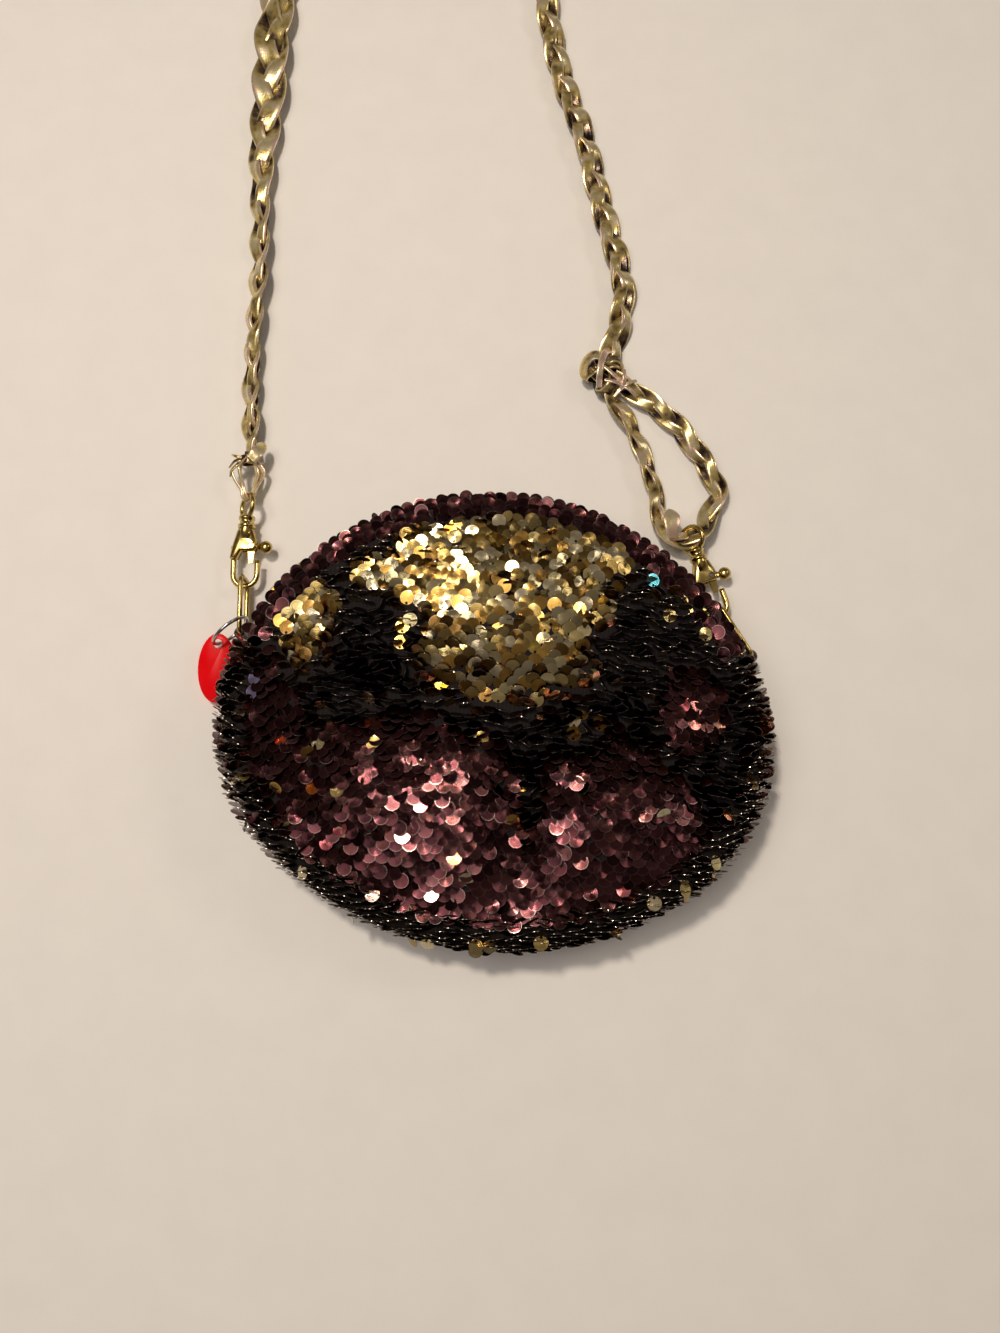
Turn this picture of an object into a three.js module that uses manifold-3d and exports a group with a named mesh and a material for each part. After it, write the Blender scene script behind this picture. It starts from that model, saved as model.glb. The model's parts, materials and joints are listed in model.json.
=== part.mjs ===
// A sequinned crossbody purse with a zipped top edge, clip-on braided strap and hang tag, lying on its back.
// Units are millimetres. +X runs to the right of someone facing the front, +Y to the zipped edge
// and +Z out of the front panel.
// The origin is the middle of the back panel, on the surface that the purse lies on.
import * as THREE from "three";
import { mergeVertices } from "three/addons/utils/BufferGeometryUtils.js";
import Module from "manifold-3d";

const wasm = await Module();
wasm.setup();
const { Manifold } = wasm;
const V = (x, y, z = 0) => new THREE.Vector3(x, y, z);
const rad = THREE.MathUtils.degToRad;

// Driving dimensions
const CLEAR = 0.3; // gap between neighbouring pieces
const CLOTH = 1.6; // sequinned cloth with its backing
const LINING = 0.6;
const HALF_WIDTH = 97; // of the filled bag at its widest level
const HALF_HEIGHT = 81;
const ZIP_R = 100; // radius of the zipped edge
const ZIP_SPAN = 66; // degrees to each side of the middle that the zipped arc covers
const GUSSET_HALF = 17; // half the distance between the two seams
const GUSSET_BULGE = 11.5; // how far the gusset stands out beyond its seams
const CROWN = 13; // rise of the front panel above its seam
const SEAM_LEFT = -67; // where zip strip and lower gusset meet, degrees from +Y
const SEAM_RIGHT = 60;
// The filled front isn't an even dome: it slumps into two lobes at its lower edge,
// with folds between and above them.
const LOBES = [
  { x: -34, y: -38, wide: 30, high: 20, rise: 3.6 },
  { x: 45, y: -32, wide: 24, high: 22, rise: 3.6 },
  { x: 0, y: 38, wide: 44, high: 22, rise: 2 },
];
const FOLDS = [
  { from: [10, -22], to: [13, -70], wide: 9, deep: 6 },
  { from: [58, 28], to: [75, 4], wide: 6, deep: 3.4 },
  { from: [-48, 6], to: [66, -4], wide: 10, deep: 3.6 },
];

const ZIP_WINDOW = 17.2; // half the gap between the zip strips, degrees round the bulge
const TAPE = 0.6;
const TAPE_EDGE = 6.2; // degrees round the bulge
const TAPE_REACH = 36;
const TOOTH_PITCH = 4;
const TOOTH_FROM = -54.2; // degrees from +Y
const TOOTH_TO = 53;
const TOOTH_DEPTH = 2.5;
const TOOTH_BASE = 0.5;
const TOOTH_SLOPE = 0.04; // half the run of a tooth's flank, degrees
const SLIDER_AT = -56; // closed end
const SLIDER_LONG = 9;
const SLIDER_HALF = 4;
const PLATE = 1;
const STOP_HALF = 1.4; // half the length of a top stop along the zip
const STOP_DEEP = 1.1; // half its depth
const END_HALF = 1.6; // half the length of the bottom stop
const PULLER_LONG = 16;
const PULLER_WIDE = 5.8;
const PULLER_THICK = 1.2;
const PULLER_TURN = -2; // degrees from lying along the zip

const WIRE = 2; // of the strap rings
const RING_LONG = 21.5; // between the middles of the two bars
const RING_TALL = 10; // between the middles of the two rails
const RING_CORNER = 2.2; // bend of its middle line
const RING_Z = 7.5;
const TAB_WIDE = 5.4;
const TAB_THICK = 1.2;
const TAB_OUT = 6; // ring bar beyond the gusset
const RING_TURN = { left: 7, right: 37 }; // degrees left of +Y
const CLASP_TURN = { left: 6.5, right: 23 };
const CLASP_Z = 6.3;

const HOOK_WIRE = 2.3;
const HOOK_SLACK = 0.55; // between the ring's bar and the bow
const HOOK_R = 4.5; // middle line of the bow
const BODY_LOW = 11; // body of the clasp, along its length from the ring's bar
const BODY_TOP = 20;
const BODY_THICK = 4.6;
const PIN = 0.8;
const PIN_AT = [2.2, 13];
const TRIGGER_THICK = 1.5;
const KNOB = 2.5;
const SPRING_AT = 12.2; // trigger spring, along the clasp
const SPRING_LONG = 1.2;
const SPRING_R = 0.5;
const SPRING_WIRE = 0.28;
const SPRING_TURNS = 3;
const EYE_WIDE = 5.6; // half the width and half the height of the eye's middle line
const EYE_TALL = 4.6;
const EYE_TURN = 35; // degrees that the eye faces round from edge-on
const EYE_WIRE = 2;
const BARREL_LONG = 4.3;

const TAG_LONG = 26;
const TAG_WIDE = 14;
const TAG_THICK = 1.6;
const TAG_HOLE = 1.8;
const TAG_RING_R = 7.5;
const TAG_RING_WIRE = 1.4;
const TAG_RING_TURN = 226; // it hangs out to the left and a little down, away from the bag
const TAG_TURN = 2; // left of +Y
const TAG_TILT = 12; // its free end lies lower than its hole

const STRAP = 9;
const STRAP_LOOP = 6.4; // where the strap is pulled thin through the eye
const COIL = { x: -69, y: 372, outer: 57, inner: 52 };
const TIE = 1.1;
const TIE_WIDE = 5;

// Derived sizes
const BULGE_R = (GUSSET_HALF ** 2 + GUSSET_BULGE ** 2) / (2 * GUSSET_BULGE);
const BULGE_TURN = THREE.MathUtils.radToDeg(Math.asin(GUSSET_HALF / BULGE_R));
const BACK_SEAM_Z = CLOTH + CLEAR + 0.1;
const MID_Z = BACK_SEAM_Z + GUSSET_HALF;
const ZIP_Y = HALF_HEIGHT - ZIP_R;
const widest = Math.sin(rad(ZIP_SPAN));
const SIDE_R = (HALF_WIDTH - ZIP_R * widest) / (1 - widest);
const SIDE_X = (ZIP_R - SIDE_R) * widest;
const SIDE_Y = ZIP_Y + (ZIP_R - SIDE_R) * Math.cos(rad(ZIP_SPAN));
const reach = HALF_HEIGHT + SIDE_Y;
const LOW_R = (SIDE_X ** 2 + reach ** 2 - SIDE_R ** 2) / (2 * (reach - SIDE_R));
const LOW_Y = LOW_R - HALF_HEIGHT;
const LOW_SPAN = THREE.MathUtils.radToDeg(Math.atan2(SIDE_X, LOW_Y - SIDE_Y));

// Joins and cuts
function solid(geometry) {
  const bare = geometry.index ? geometry.toNonIndexed() : geometry;
  const merged = mergeVertices(
    new THREE.BufferGeometry().setAttribute("position", bare.getAttribute("position")),
    1e-4,
  );
  return new Manifold(
    new wasm.Mesh({
      numProp: 3,
      vertProperties: new Float32Array(merged.attributes.position.array),
      triVerts: new Uint32Array(merged.index.array),
    }),
  );
}
function geometryOf(made) {
  const m = made.getMesh();
  return new THREE.BufferGeometry()
    .setAttribute("position", new THREE.BufferAttribute(m.vertProperties, 3))
    .setIndex(new THREE.BufferAttribute(m.triVerts, 1));
}
const join = (...all) => all.reduce((a, b) => a.add(b));

// A closed surface from points and triangles, turned to face out.
function closed(points, triangles) {
  let volume = 0;
  for (const [a, b, c] of triangles)
    volume += points[a].dot(points[b].clone().cross(points[c]));
  const index = triangles.flatMap(([a, b, c]) => (volume > 0 ? [a, b, c] : [a, c, b]));
  return new THREE.BufferGeometry()
    .setAttribute("position", new THREE.Float32BufferAttribute(points.flatMap((p) => [p.x, p.y, p.z]), 3))
    .setIndex(index);
}

// A skin over rows of points that each run right round. The first and last rows are single points.
// The second half of the rows comes back on the inside. Its faces are split along the same lines,
// so that walls nest.
function skin(rows) {
  const points = rows.flat(), triangles = [], start = [];
  rows.reduce((n, r) => (start.push(n), n + r.length), 0);
  for (let k = 0; k + 1 < rows.length; k++) {
    const n = Math.max(rows[k].length, rows[k + 1].length);
    const back = k >= rows.length / 2 ? 1 : 0;
    const at = (row, j) => start[row] + (rows[row].length === 1 ? 0 : j % n);
    for (let i = 0; i < n; i++) {
      if (rows[k].length > 1) triangles.push([at(k, i), at(k, i + 1), at(k + 1, i + back)]);
      if (rows[k + 1].length > 1) triangles.push([at(k, i + 1 - back), at(k + 1, i + 1), at(k + 1, i)]);
    }
  }
  return closed(points, triangles);
}

// A strip of one section after another, capped at both ends.
function strip(sections, cap) {
  const n = sections[0].length, points = sections.flat(), triangles = [];
  for (let k = 0; k + 1 < sections.length; k++)
    for (let i = 0; i < n; i++) {
      const j = (i + 1) % n, a = k * n, b = a + n;
      triangles.push([a + i, a + j, b + j], [a + i, b + j, b + i]);
    }
  const last = (sections.length - 1) * n;
  for (const [a, b, c] of cap) triangles.push([c, b, a], [last + a, last + b, last + c]);
  return closed(points, triangles);
}

// The oval outline at the widest level: its point and outward direction at a bearing from +Y.
function edge(bearing) {
  const t = ((bearing + 180) % 360 + 360) % 360 - 180;
  const n = V(Math.sin(rad(t)), Math.cos(rad(t)));
  let arc = [(Math.sign(t) || 1) * SIDE_X, SIDE_Y, SIDE_R];
  if (Math.abs(t) <= ZIP_SPAN) arc = [0, ZIP_Y, ZIP_R];
  else if (Math.abs(t) >= 180 - LOW_SPAN) arc = [0, LOW_Y, LOW_R];
  const [x, y, r] = arc;
  return { p: V(x + n.x * r, y + n.y * r), n };
}
const from = (bearing, out, z) => {
  const { p, n } = edge(bearing);
  return V(p.x + n.x * out, p.y + n.y * out, z);
};
// A place on the bulged section: degrees up from the middle level and depth below the cloth's outside.
const bulge = (turn, depth) => [
  (BULGE_R - depth) * Math.cos(rad(turn)) - BULGE_R,
  MID_Z + (BULGE_R - depth) * Math.sin(rad(turn)),
];
const ramp = (a, b, n) => Array.from({ length: n + 1 }, (_, i) => a + ((b - a) * i) / n);
const onCircle = (r, t) => [r * Math.cos(rad(t)), r * Math.sin(rad(t))];
// The place that lies a length away from another, in a direction turned left of +Y.
const along = (p, length, turn) =>
  V(p.x - length * Math.sin(rad(turn)), p.y + length * Math.cos(rad(turn)), p.z);
const FACETS = 48; // round the whole outline
const AROUND = ramp(0, 360, FACETS).slice(0, FACETS);
function bearings(a, b) {
  const inner = ramp(-360, 360, 2 * FACETS).filter((t) => t > a + 1.5 && t < b - 1.5);
  return [a, ...inner, b];
}
function band(a, b, low, high, top, thick, steps) {
  const outer = ramp(low, high, steps), inner = ramp(high, low, steps);
  const section = [...outer.map((t) => bulge(t, top)), ...inner.map((t) => bulge(t, top + thick))];
  const n = steps + 1, cap = [];
  for (let i = 0; i < steps; i++) cap.push([i, i + 1, 2 * n - 1 - i], [i + 1, 2 * n - 2 - i, 2 * n - 1 - i]);
  return strip(bearings(a, b).map((t) => section.map(([out, z]) => from(t, out, z))), cap);
}
const box = (x0, x1, y0, y1, z0, z1) => {
  const made = new THREE.BoxGeometry(x1 - x0, y1 - y0, z1 - z0);
  return solid(made.translate((x0 + x1) / 2, (y0 + y1) / 2, (z0 + z1) / 2));
};
const rod = (r, a, b, sides = 20) => {
  const way = b.clone().sub(a);
  return solid(
    new THREE.CylinderGeometry(r, r, way.length(), sides)
      .applyQuaternion(new THREE.Quaternion().setFromUnitVectors(V(0, 1), way.clone().normalize()))
      .translate((a.x + b.x) / 2, (a.y + b.y) / 2, (a.z + b.z) / 2),
  );
};
function tube(route, width, steps, sides = 8) {
  const smooth = () => new THREE.CatmullRomCurve3(route, false, "centripetal");
  const extrudePath = route instanceof THREE.Curve ? route : smooth();
  const turns = ramp(0, 360, sides).slice(0, sides);
  const section = new THREE.Shape(turns.map((t) => new THREE.Vector2(...onCircle(width / 2, t))));
  return new THREE.ExtrudeGeometry(section, { steps, extrudePath });
}
const lathe = (profile, sides) =>
  new THREE.LatheGeometry(profile.map(([r, y]) => new THREE.Vector2(r, y)), sides);
function plate(corners, thick, bevel = 0) {
  const shape = new THREE.Shape(corners.map(([x, y]) => new THREE.Vector2(x, y)));
  const made = new THREE.ExtrudeGeometry(shape, {
    depth: thick - 2 * bevel,
    bevelEnabled: bevel > 0,
    bevelThickness: bevel,
    bevelSize: bevel,
    bevelOffset: -bevel,
    bevelSegments: 1,
  });
  return solid(made.translate(0, 0, bevel - thick / 2));
}

// Materials
const paint = (color, metalness, roughness) =>
  new THREE.MeshStandardMaterial({ color, metalness, roughness });
const SEQUIN = paint(0x7a2b4a, 0.6, 0.35), STRIP = paint(0x6a2440, 0.5, 0.4), SATIN = paint(0x2b2026, 0, 0.7);
const WEB = paint(0x4a4046, 0, 0.8), BRASS = paint(0xcaa24a, 1, 0.25), STEEL = paint(0xb8b8bc, 1, 0.3);
const RED = paint(0xd2141e, 0, 0.35), GOLD = paint(0xd9ad4e, 0.7, 0.35), DARK = paint(0x3a3438, 0, 0.6);

const purse = new THREE.Group();
purse.name = "sequin_crossbody_purse";
function add(name, geometry, material, place = purse) {
  const mesh = new THREE.Mesh(geometry.isBufferGeometry ? geometry : geometryOf(geometry), material);
  mesh.name = name;
  place.add(mesh);
  return mesh;
}

// Front panel: a shallow dome whose rim carries on the curve of the gusset across the seam.
const seamStep = [-Math.sin(rad(BULGE_TURN)) * CLEAR, Math.cos(rad(BULGE_TURN)) * CLEAR];
const frontRim = (depth) => bulge(BULGE_TURN, depth).map((v, i) => v + seamStep[i]);
function slump(x, y) {
  const rise = LOBES.map((l) => l.rise * Math.exp(-(((x - l.x) / l.wide) ** 2) - ((y - l.y) / l.high) ** 2));
  const fall = FOLDS.map((f) => {
    const [ax, ay] = f.from, ux = f.to[0] - ax, uy = f.to[1] - ay;
    const s = THREE.MathUtils.clamp(((x - ax) * ux + (y - ay) * uy) / (ux * ux + uy * uy), 0, 1);
    return -f.deep * Math.exp(-((Math.hypot(x - ax - s * ux, y - ay - s * uy) / f.wide) ** 2));
  });
  return [...rise, ...fall].reduce((a, b) => a + b);
}
function dome(depth, rings) {
  const [out, z] = frontRim(depth), outside = frontRim(0)[0];
  const at = (q) => (t) => {
    const p = from(t, out, 0).multiplyScalar(q), above = from(t, outside, 0).multiplyScalar(q);
    return p.setZ(z + CROWN * (1 - q * q) + slump(above.x, above.y) * (1 - q ** 4));
  };
  return rings.map((q) => (q === 0 ? [at(0)(0)] : AROUND.map(at(q))));
}
const RINGS = [0, 0.2, 0.4, 0.6, 0.8, 1];
add("front_panel", skin([...dome(0, RINGS), ...dome(CLOTH, RINGS).reverse()]), SEQUIN);

// Back panel: the flat face that the purse lies on, under the gusset's lower edge.
const flat = (out, z) => AROUND.map((t) => from(t, out, z));
const BACK_ROUND = 0.4; // its faces stop this far inside its rolled edge
const backFace = -GUSSET_BULGE - BACK_ROUND;
const backRows = [flat(backFace, CLOTH), flat(-GUSSET_BULGE, CLOTH / 2), flat(backFace, 0)];
add("back_panel", skin([[V(0, 0, CLOTH)], ...backRows, [V(0, 0, 0)]]), SEQUIN);

// Gusset: the bulged side band below the zip, and the two strips that hold the zip.
const SEAM_GAP = 0.25; // degrees left open at the seams between the strips and the lower gusset
const tabTurn = { left: SEAM_LEFT, right: SEAM_RIGHT };
const atSeam = (side, made) => {
  const p = from(tabTurn[side], 0, RING_Z);
  return solid(geometryOf(made).rotateZ(-rad(tabTurn[side])).translate(p.x, p.y, p.z));
};
const TAB_IN = 11;
const notch = (side, grow) => {
  const thick = TAB_THICK + grow, half = TAB_WIDE / 2 + grow;
  return atSeam(side, box(-thick, thick, -TAB_IN, TAB_OUT, -half, half));
};
const slotted = (geometry) => solid(geometry).subtract(notch("left", CLEAR)).subtract(notch("right", CLEAR));
const below = [SEAM_RIGHT + SEAM_GAP, 360 + SEAM_LEFT - SEAM_GAP];
add("lower_gusset", slotted(band(...below, -BULGE_TURN, BULGE_TURN, 0, CLOTH, 8)), SEQUIN);
const beside = [SEAM_LEFT + SEAM_GAP, SEAM_RIGHT - SEAM_GAP];
add("zip_strip_front", band(...beside, ZIP_WINDOW, BULGE_TURN, 0, CLOTH, 4), STRIP);
add("zip_strip_back", slotted(band(...beside, -BULGE_TURN, -ZIP_WINDOW, 0, CLOTH, 4)), STRIP);

// Lining: two satin cups that meet half way up the gusset and stop short of the zip.
const ZIP_REACH = TAPE_REACH + 4;
const nearZip = (t) => t > 360 + SEAM_LEFT - 1 || t < SEAM_RIGHT + 3;
const wall = (side, depth, share) =>
  AROUND.map((t) => {
    const stop = nearZip(t) ? ZIP_REACH : 1;
    return from(t, ...bulge(side * (BULGE_TURN + (stop - BULGE_TURN) * share), depth));
  });
const LINE = CLOTH + CLEAR + 0.1;
const cup = (top, side) => {
  const face = (d) => [...top(d), ...[0.5, 1].map((s) => wall(side, d, s))];
  return skin([...face(LINE), ...face(LINE + LINING).reverse()]);
};
add("lining_front", cup((d) => [...dome(d, RINGS.slice(0, -1)), wall(1, d, 0)], 1), SATIN);
const floor = (d) => [[V(0, 0, d)], flat(-GUSSET_BULGE - 3.2, d), wall(-1, d, 0)];
add("lining_back", cup(floor, -1), SATIN);

// Zip: two tapes, two rows of teeth that mesh, stops, and the slider with its puller.
const tapeTop = CLOTH + CLEAR + 0.05;
const zipFrom = SEAM_LEFT + 3, zipTo = SEAM_RIGHT - 1;
add("zip_tape_front", band(zipFrom, zipTo, TAPE_EDGE, TAPE_REACH, tapeTop, TAPE, 3), DARK);
add("zip_tape_back", band(zipFrom, zipTo, -TAPE_REACH, -TAPE_EDGE, tapeTop, TAPE, 3), DARK);
const toothOut = -tapeTop - TAPE / 2;
const toothTop = (BULGE_R - tapeTop) * Math.sin(rad(TAPE_EDGE)) - CLEAR - 0.02;
const degrees = (length) => THREE.MathUtils.radToDeg(length / (ZIP_R + toothOut));
function teeth(side, offset) {
  const pitch = degrees(TOOTH_PITCH), half = degrees(TOOTH_PITCH / 4 - CLEAR / 2), sections = [];
  const cut = (t, low) => {
    const corners = [[1, toothTop], [1, low], [-1, low], [-1, toothTop]];
    sections.push(corners.map(([d, h]) => from(t, toothOut + (d * TOOTH_DEPTH) / 2, MID_Z + side * h)));
  };
  const root = toothTop - TOOTH_BASE, tip = CLEAR - root;
  for (let t = TOOTH_FROM + pitch * (0.5 + offset); t + half < TOOTH_TO; t += pitch) {
    cut(t - half - TOOTH_SLOPE, root);
    cut(t - half + TOOTH_SLOPE, tip);
    cut(t + half - TOOTH_SLOPE, tip);
    cut(t + half + TOOTH_SLOPE, root);
  }
  return strip(sections, [[0, 1, 2], [0, 2, 3]]);
}
add("zip_teeth_front", teeth(1, 0), BRASS);
add("zip_teeth_back", teeth(-1, 0.5), BRASS);

// Zip hardware is drawn at the middle of the zipped edge and turned to its bearing.
// There +X runs along the zip.
const zipPlace = (bearing) => {
  const g = new THREE.Group();
  g.position.set(0, ZIP_Y, MID_Z);
  g.rotation.z = -rad(bearing);
  purse.add(g);
  return g;
};
const across = (x0, x1, out0, out1, z0, z1) => box(x0, x1, ZIP_R + out0, ZIP_R + out1, z0, z1);
const stopIn = toothOut - STOP_DEEP, stopOut = toothOut + STOP_DEEP, stopLow = CLEAR / 2 + 0.1;
const topStop = zipPlace(SLIDER_AT - degrees(SLIDER_LONG / 2 + STOP_HALF + 0.8));
const frontStop = across(-STOP_HALF, STOP_HALF, stopIn, stopOut, stopLow, toothTop);
add("zip_top_stop_front", frontStop, BRASS, topStop);
const backStop = across(-STOP_HALF, STOP_HALF, stopIn, stopOut, -toothTop, -stopLow);
add("zip_top_stop_back", backStop, BRASS, topStop);
const bottomStop = zipPlace(TOOTH_TO + degrees(END_HALF + 1));
add("zip_bottom_stop", across(-END_HALF, END_HALF, stopIn, stopOut, -toothTop, toothTop), BRASS, bottomStop);
const sliderIn = toothOut - TOOTH_DEPTH / 2 - 0.4, sliderOut = toothOut + TOOTH_DEPTH / 2 + 0.4;
const archIn = sliderOut + PLATE, ARCH = 2.2, pivotOut = archIn + ARCH / 2;
const sliderEnd = SLIDER_LONG / 2;
// Each plate is wide at the mouth, where the rows come in apart, and narrows to the tail.
const ARCH_WIRE = 1.3, SLIDER_TAIL = SLIDER_HALF - 0.9, ROUND = 0.8;
const sliderSide = [
  [-sliderEnd, SLIDER_HALF - ROUND],
  [-sliderEnd + ROUND, SLIDER_HALF],
  [-ROUND, SLIDER_HALF],
  [sliderEnd - ROUND, SLIDER_TAIL],
  [sliderEnd, SLIDER_TAIL - ROUND],
];
const sliderShape = [...sliderSide.map(([x, z]) => [x, -z]), ...sliderSide.toReversed()];
const sliderPlate = (out) => onEdge(plate(sliderShape, PLATE, 0.2)).translate([0, ZIP_R + out, 0]);
const archSide = [[2.7, -0.4], [2.6, 1.2], [1.7, ARCH + 0.5]];
const archWhole = [...archSide.map(([x, up]) => [-x, up]), [0, ARCH + 0.75], ...archSide.toReversed()];
const archLine = archWhole.map(([x, up]) => V(x, ZIP_R + archIn + up, 0));
const slider = zipPlace(SLIDER_AT);
add(
  "zip_slider",
  join(
    sliderPlate(sliderOut + PLATE / 2),
    sliderPlate(sliderIn - PLATE / 2),
    across(-sliderEnd + 0.3, -sliderEnd + 2, sliderIn - 0.2, sliderOut + 0.2, -1.2, 1.2),
    solid(tube(archLine, ARCH_WIRE, 10)),
  ),
  BRASS,
  slider,
);
const puller = new THREE.Group();
puller.position.set(0, ZIP_R + pivotOut, 0);
puller.rotation.z = rad(PULLER_TURN);
slider.add(puller);
const pullerHalf = PULLER_WIDE / 2, bladeEnd = PULLER_LONG - pullerHalf, BLADE_FROM = 4.4;
const ARM = 0.7, ARM_IN = 1.4; // the two arms that hold the pivot: reach beyond it and inner face
const bladeRound = ramp(-90, 90, 10).map((t) => onCircle(pullerHalf, t)).map(([x, y]) => [bladeEnd + x, y]);
const bladeEdge = [...bladeRound, [BLADE_FROM, pullerHalf], [BLADE_FROM, -pullerHalf]];
const pullerBlade = plate(bladeEdge, PULLER_THICK, 0.3);
add(
  "zip_puller",
  join(
    onEdge(pullerBlade),
    box(-ARM, BLADE_FROM + 0.6, -PULLER_THICK / 2, PULLER_THICK / 2, ARM_IN, pullerHalf),
    box(-ARM, BLADE_FROM + 0.6, -PULLER_THICK / 2, PULLER_THICK / 2, -pullerHalf, -ARM_IN),
    rod(0.65, V(0, 0, -2), V(0, 0, 2), 14),
  ).subtract(rod(1.3, V(bladeEnd, -2), V(bladeEnd, 2), 16)),
  BRASS,
  puller,
);
// The blade is drawn flat and stood on edge, so that it swings about Z.
function onEdge(made) {
  return solid(geometryOf(made).rotateX(Math.PI / 2));
}

// Strap rings: oblong wire links that stand upright in their tabs.
const chain = {};
for (const side of ["left", "right"]) {
  const bar = from(tabTurn[side], TAB_OUT, RING_Z);
  const ring = new THREE.Group();
  ring.position.copy(bar);
  ring.rotation.z = rad(RING_TURN[side]);
  purse.add(ring);
  const far = RING_LONG - RING_CORNER, high = RING_TALL / 2 - RING_CORNER;
  const corner = (y, z, a) =>
    ramp(a, a + 90, 4).map((t) => onCircle(RING_CORNER, t)).map(([dy, dz]) => V(0, y + dy, z + dz));
  const link = [
    ...corner(far, high, 0),
    ...corner(RING_CORNER, high, 90),
    ...corner(RING_CORNER, -high, 180),
    ...corner(far, -high, 270),
  ];
  add(side + "_ring", wireLink(link, WIRE, 10), BRASS, ring);

  // Tab: a strip of tape folded round the ring's near bar, its two tails sewn into the seam.
  const r0 = WIRE / 2 + CLEAR, r1 = r0 + TAB_THICK;
  const fold = atSeam(side, rod(r1, V(0, TAB_OUT, -TAB_WIDE / 2), V(0, TAB_OUT, TAB_WIDE / 2), 28));
  const bore = atSeam(side, rod(r0, V(0, TAB_OUT, -TAB_WIDE), V(0, TAB_OUT, TAB_WIDE), 24));
  const near = [tabTurn[side] - 6, tabTurn[side] + 6];
  const inside = solid(band(...near, -BULGE_TURN, BULGE_TURN, LINE - CLEAR, 12, 10));
  add(side + "_tab", join(fold, notch(side, 0)).subtract(bore).subtract(inside), WEB);

  // Clasp: its origin is the middle of the ring's far bar, and +Y runs to the eye.
  const clasp = new THREE.Group();
  clasp.position.copy(along(bar, RING_LONG, RING_TURN[side])).setZ(CLASP_Z);
  clasp.rotation.z = rad(CLASP_TURN[side]);
  purse.add(clasp);
  chain[side] = { clasp };
  clasps(side, clasp);
}

// A closed wire link from the corners of its middle line, which lie in one plane x = 0.
function wireLink(line, wire, sides) {
  const n = line.length, points = [], triangles = [];
  line.forEach((p, i) => {
    const way = line[(i + 1) % n].clone().sub(line[(i + n - 1) % n]).normalize();
    const out = V(0, way.z, -way.y);
    for (let k = 0; k < sides; k++) {
      const [x, up] = onCircle(wire / 2, (360 * k) / sides);
      points.push(p.clone().add(V(x, 0)).addScaledVector(out, up));
    }
  });
  for (let i = 0; i < n; i++)
    for (let k = 0; k < sides; k++) {
      const here = i * sides, ahead = ((i + 1) % n) * sides, next = (k + 1) % sides;
      triangles.push([here + k, here + next, ahead + next], [here + k, ahead + next, ahead + k]);
    }
  return closed(points, triangles);
}

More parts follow.
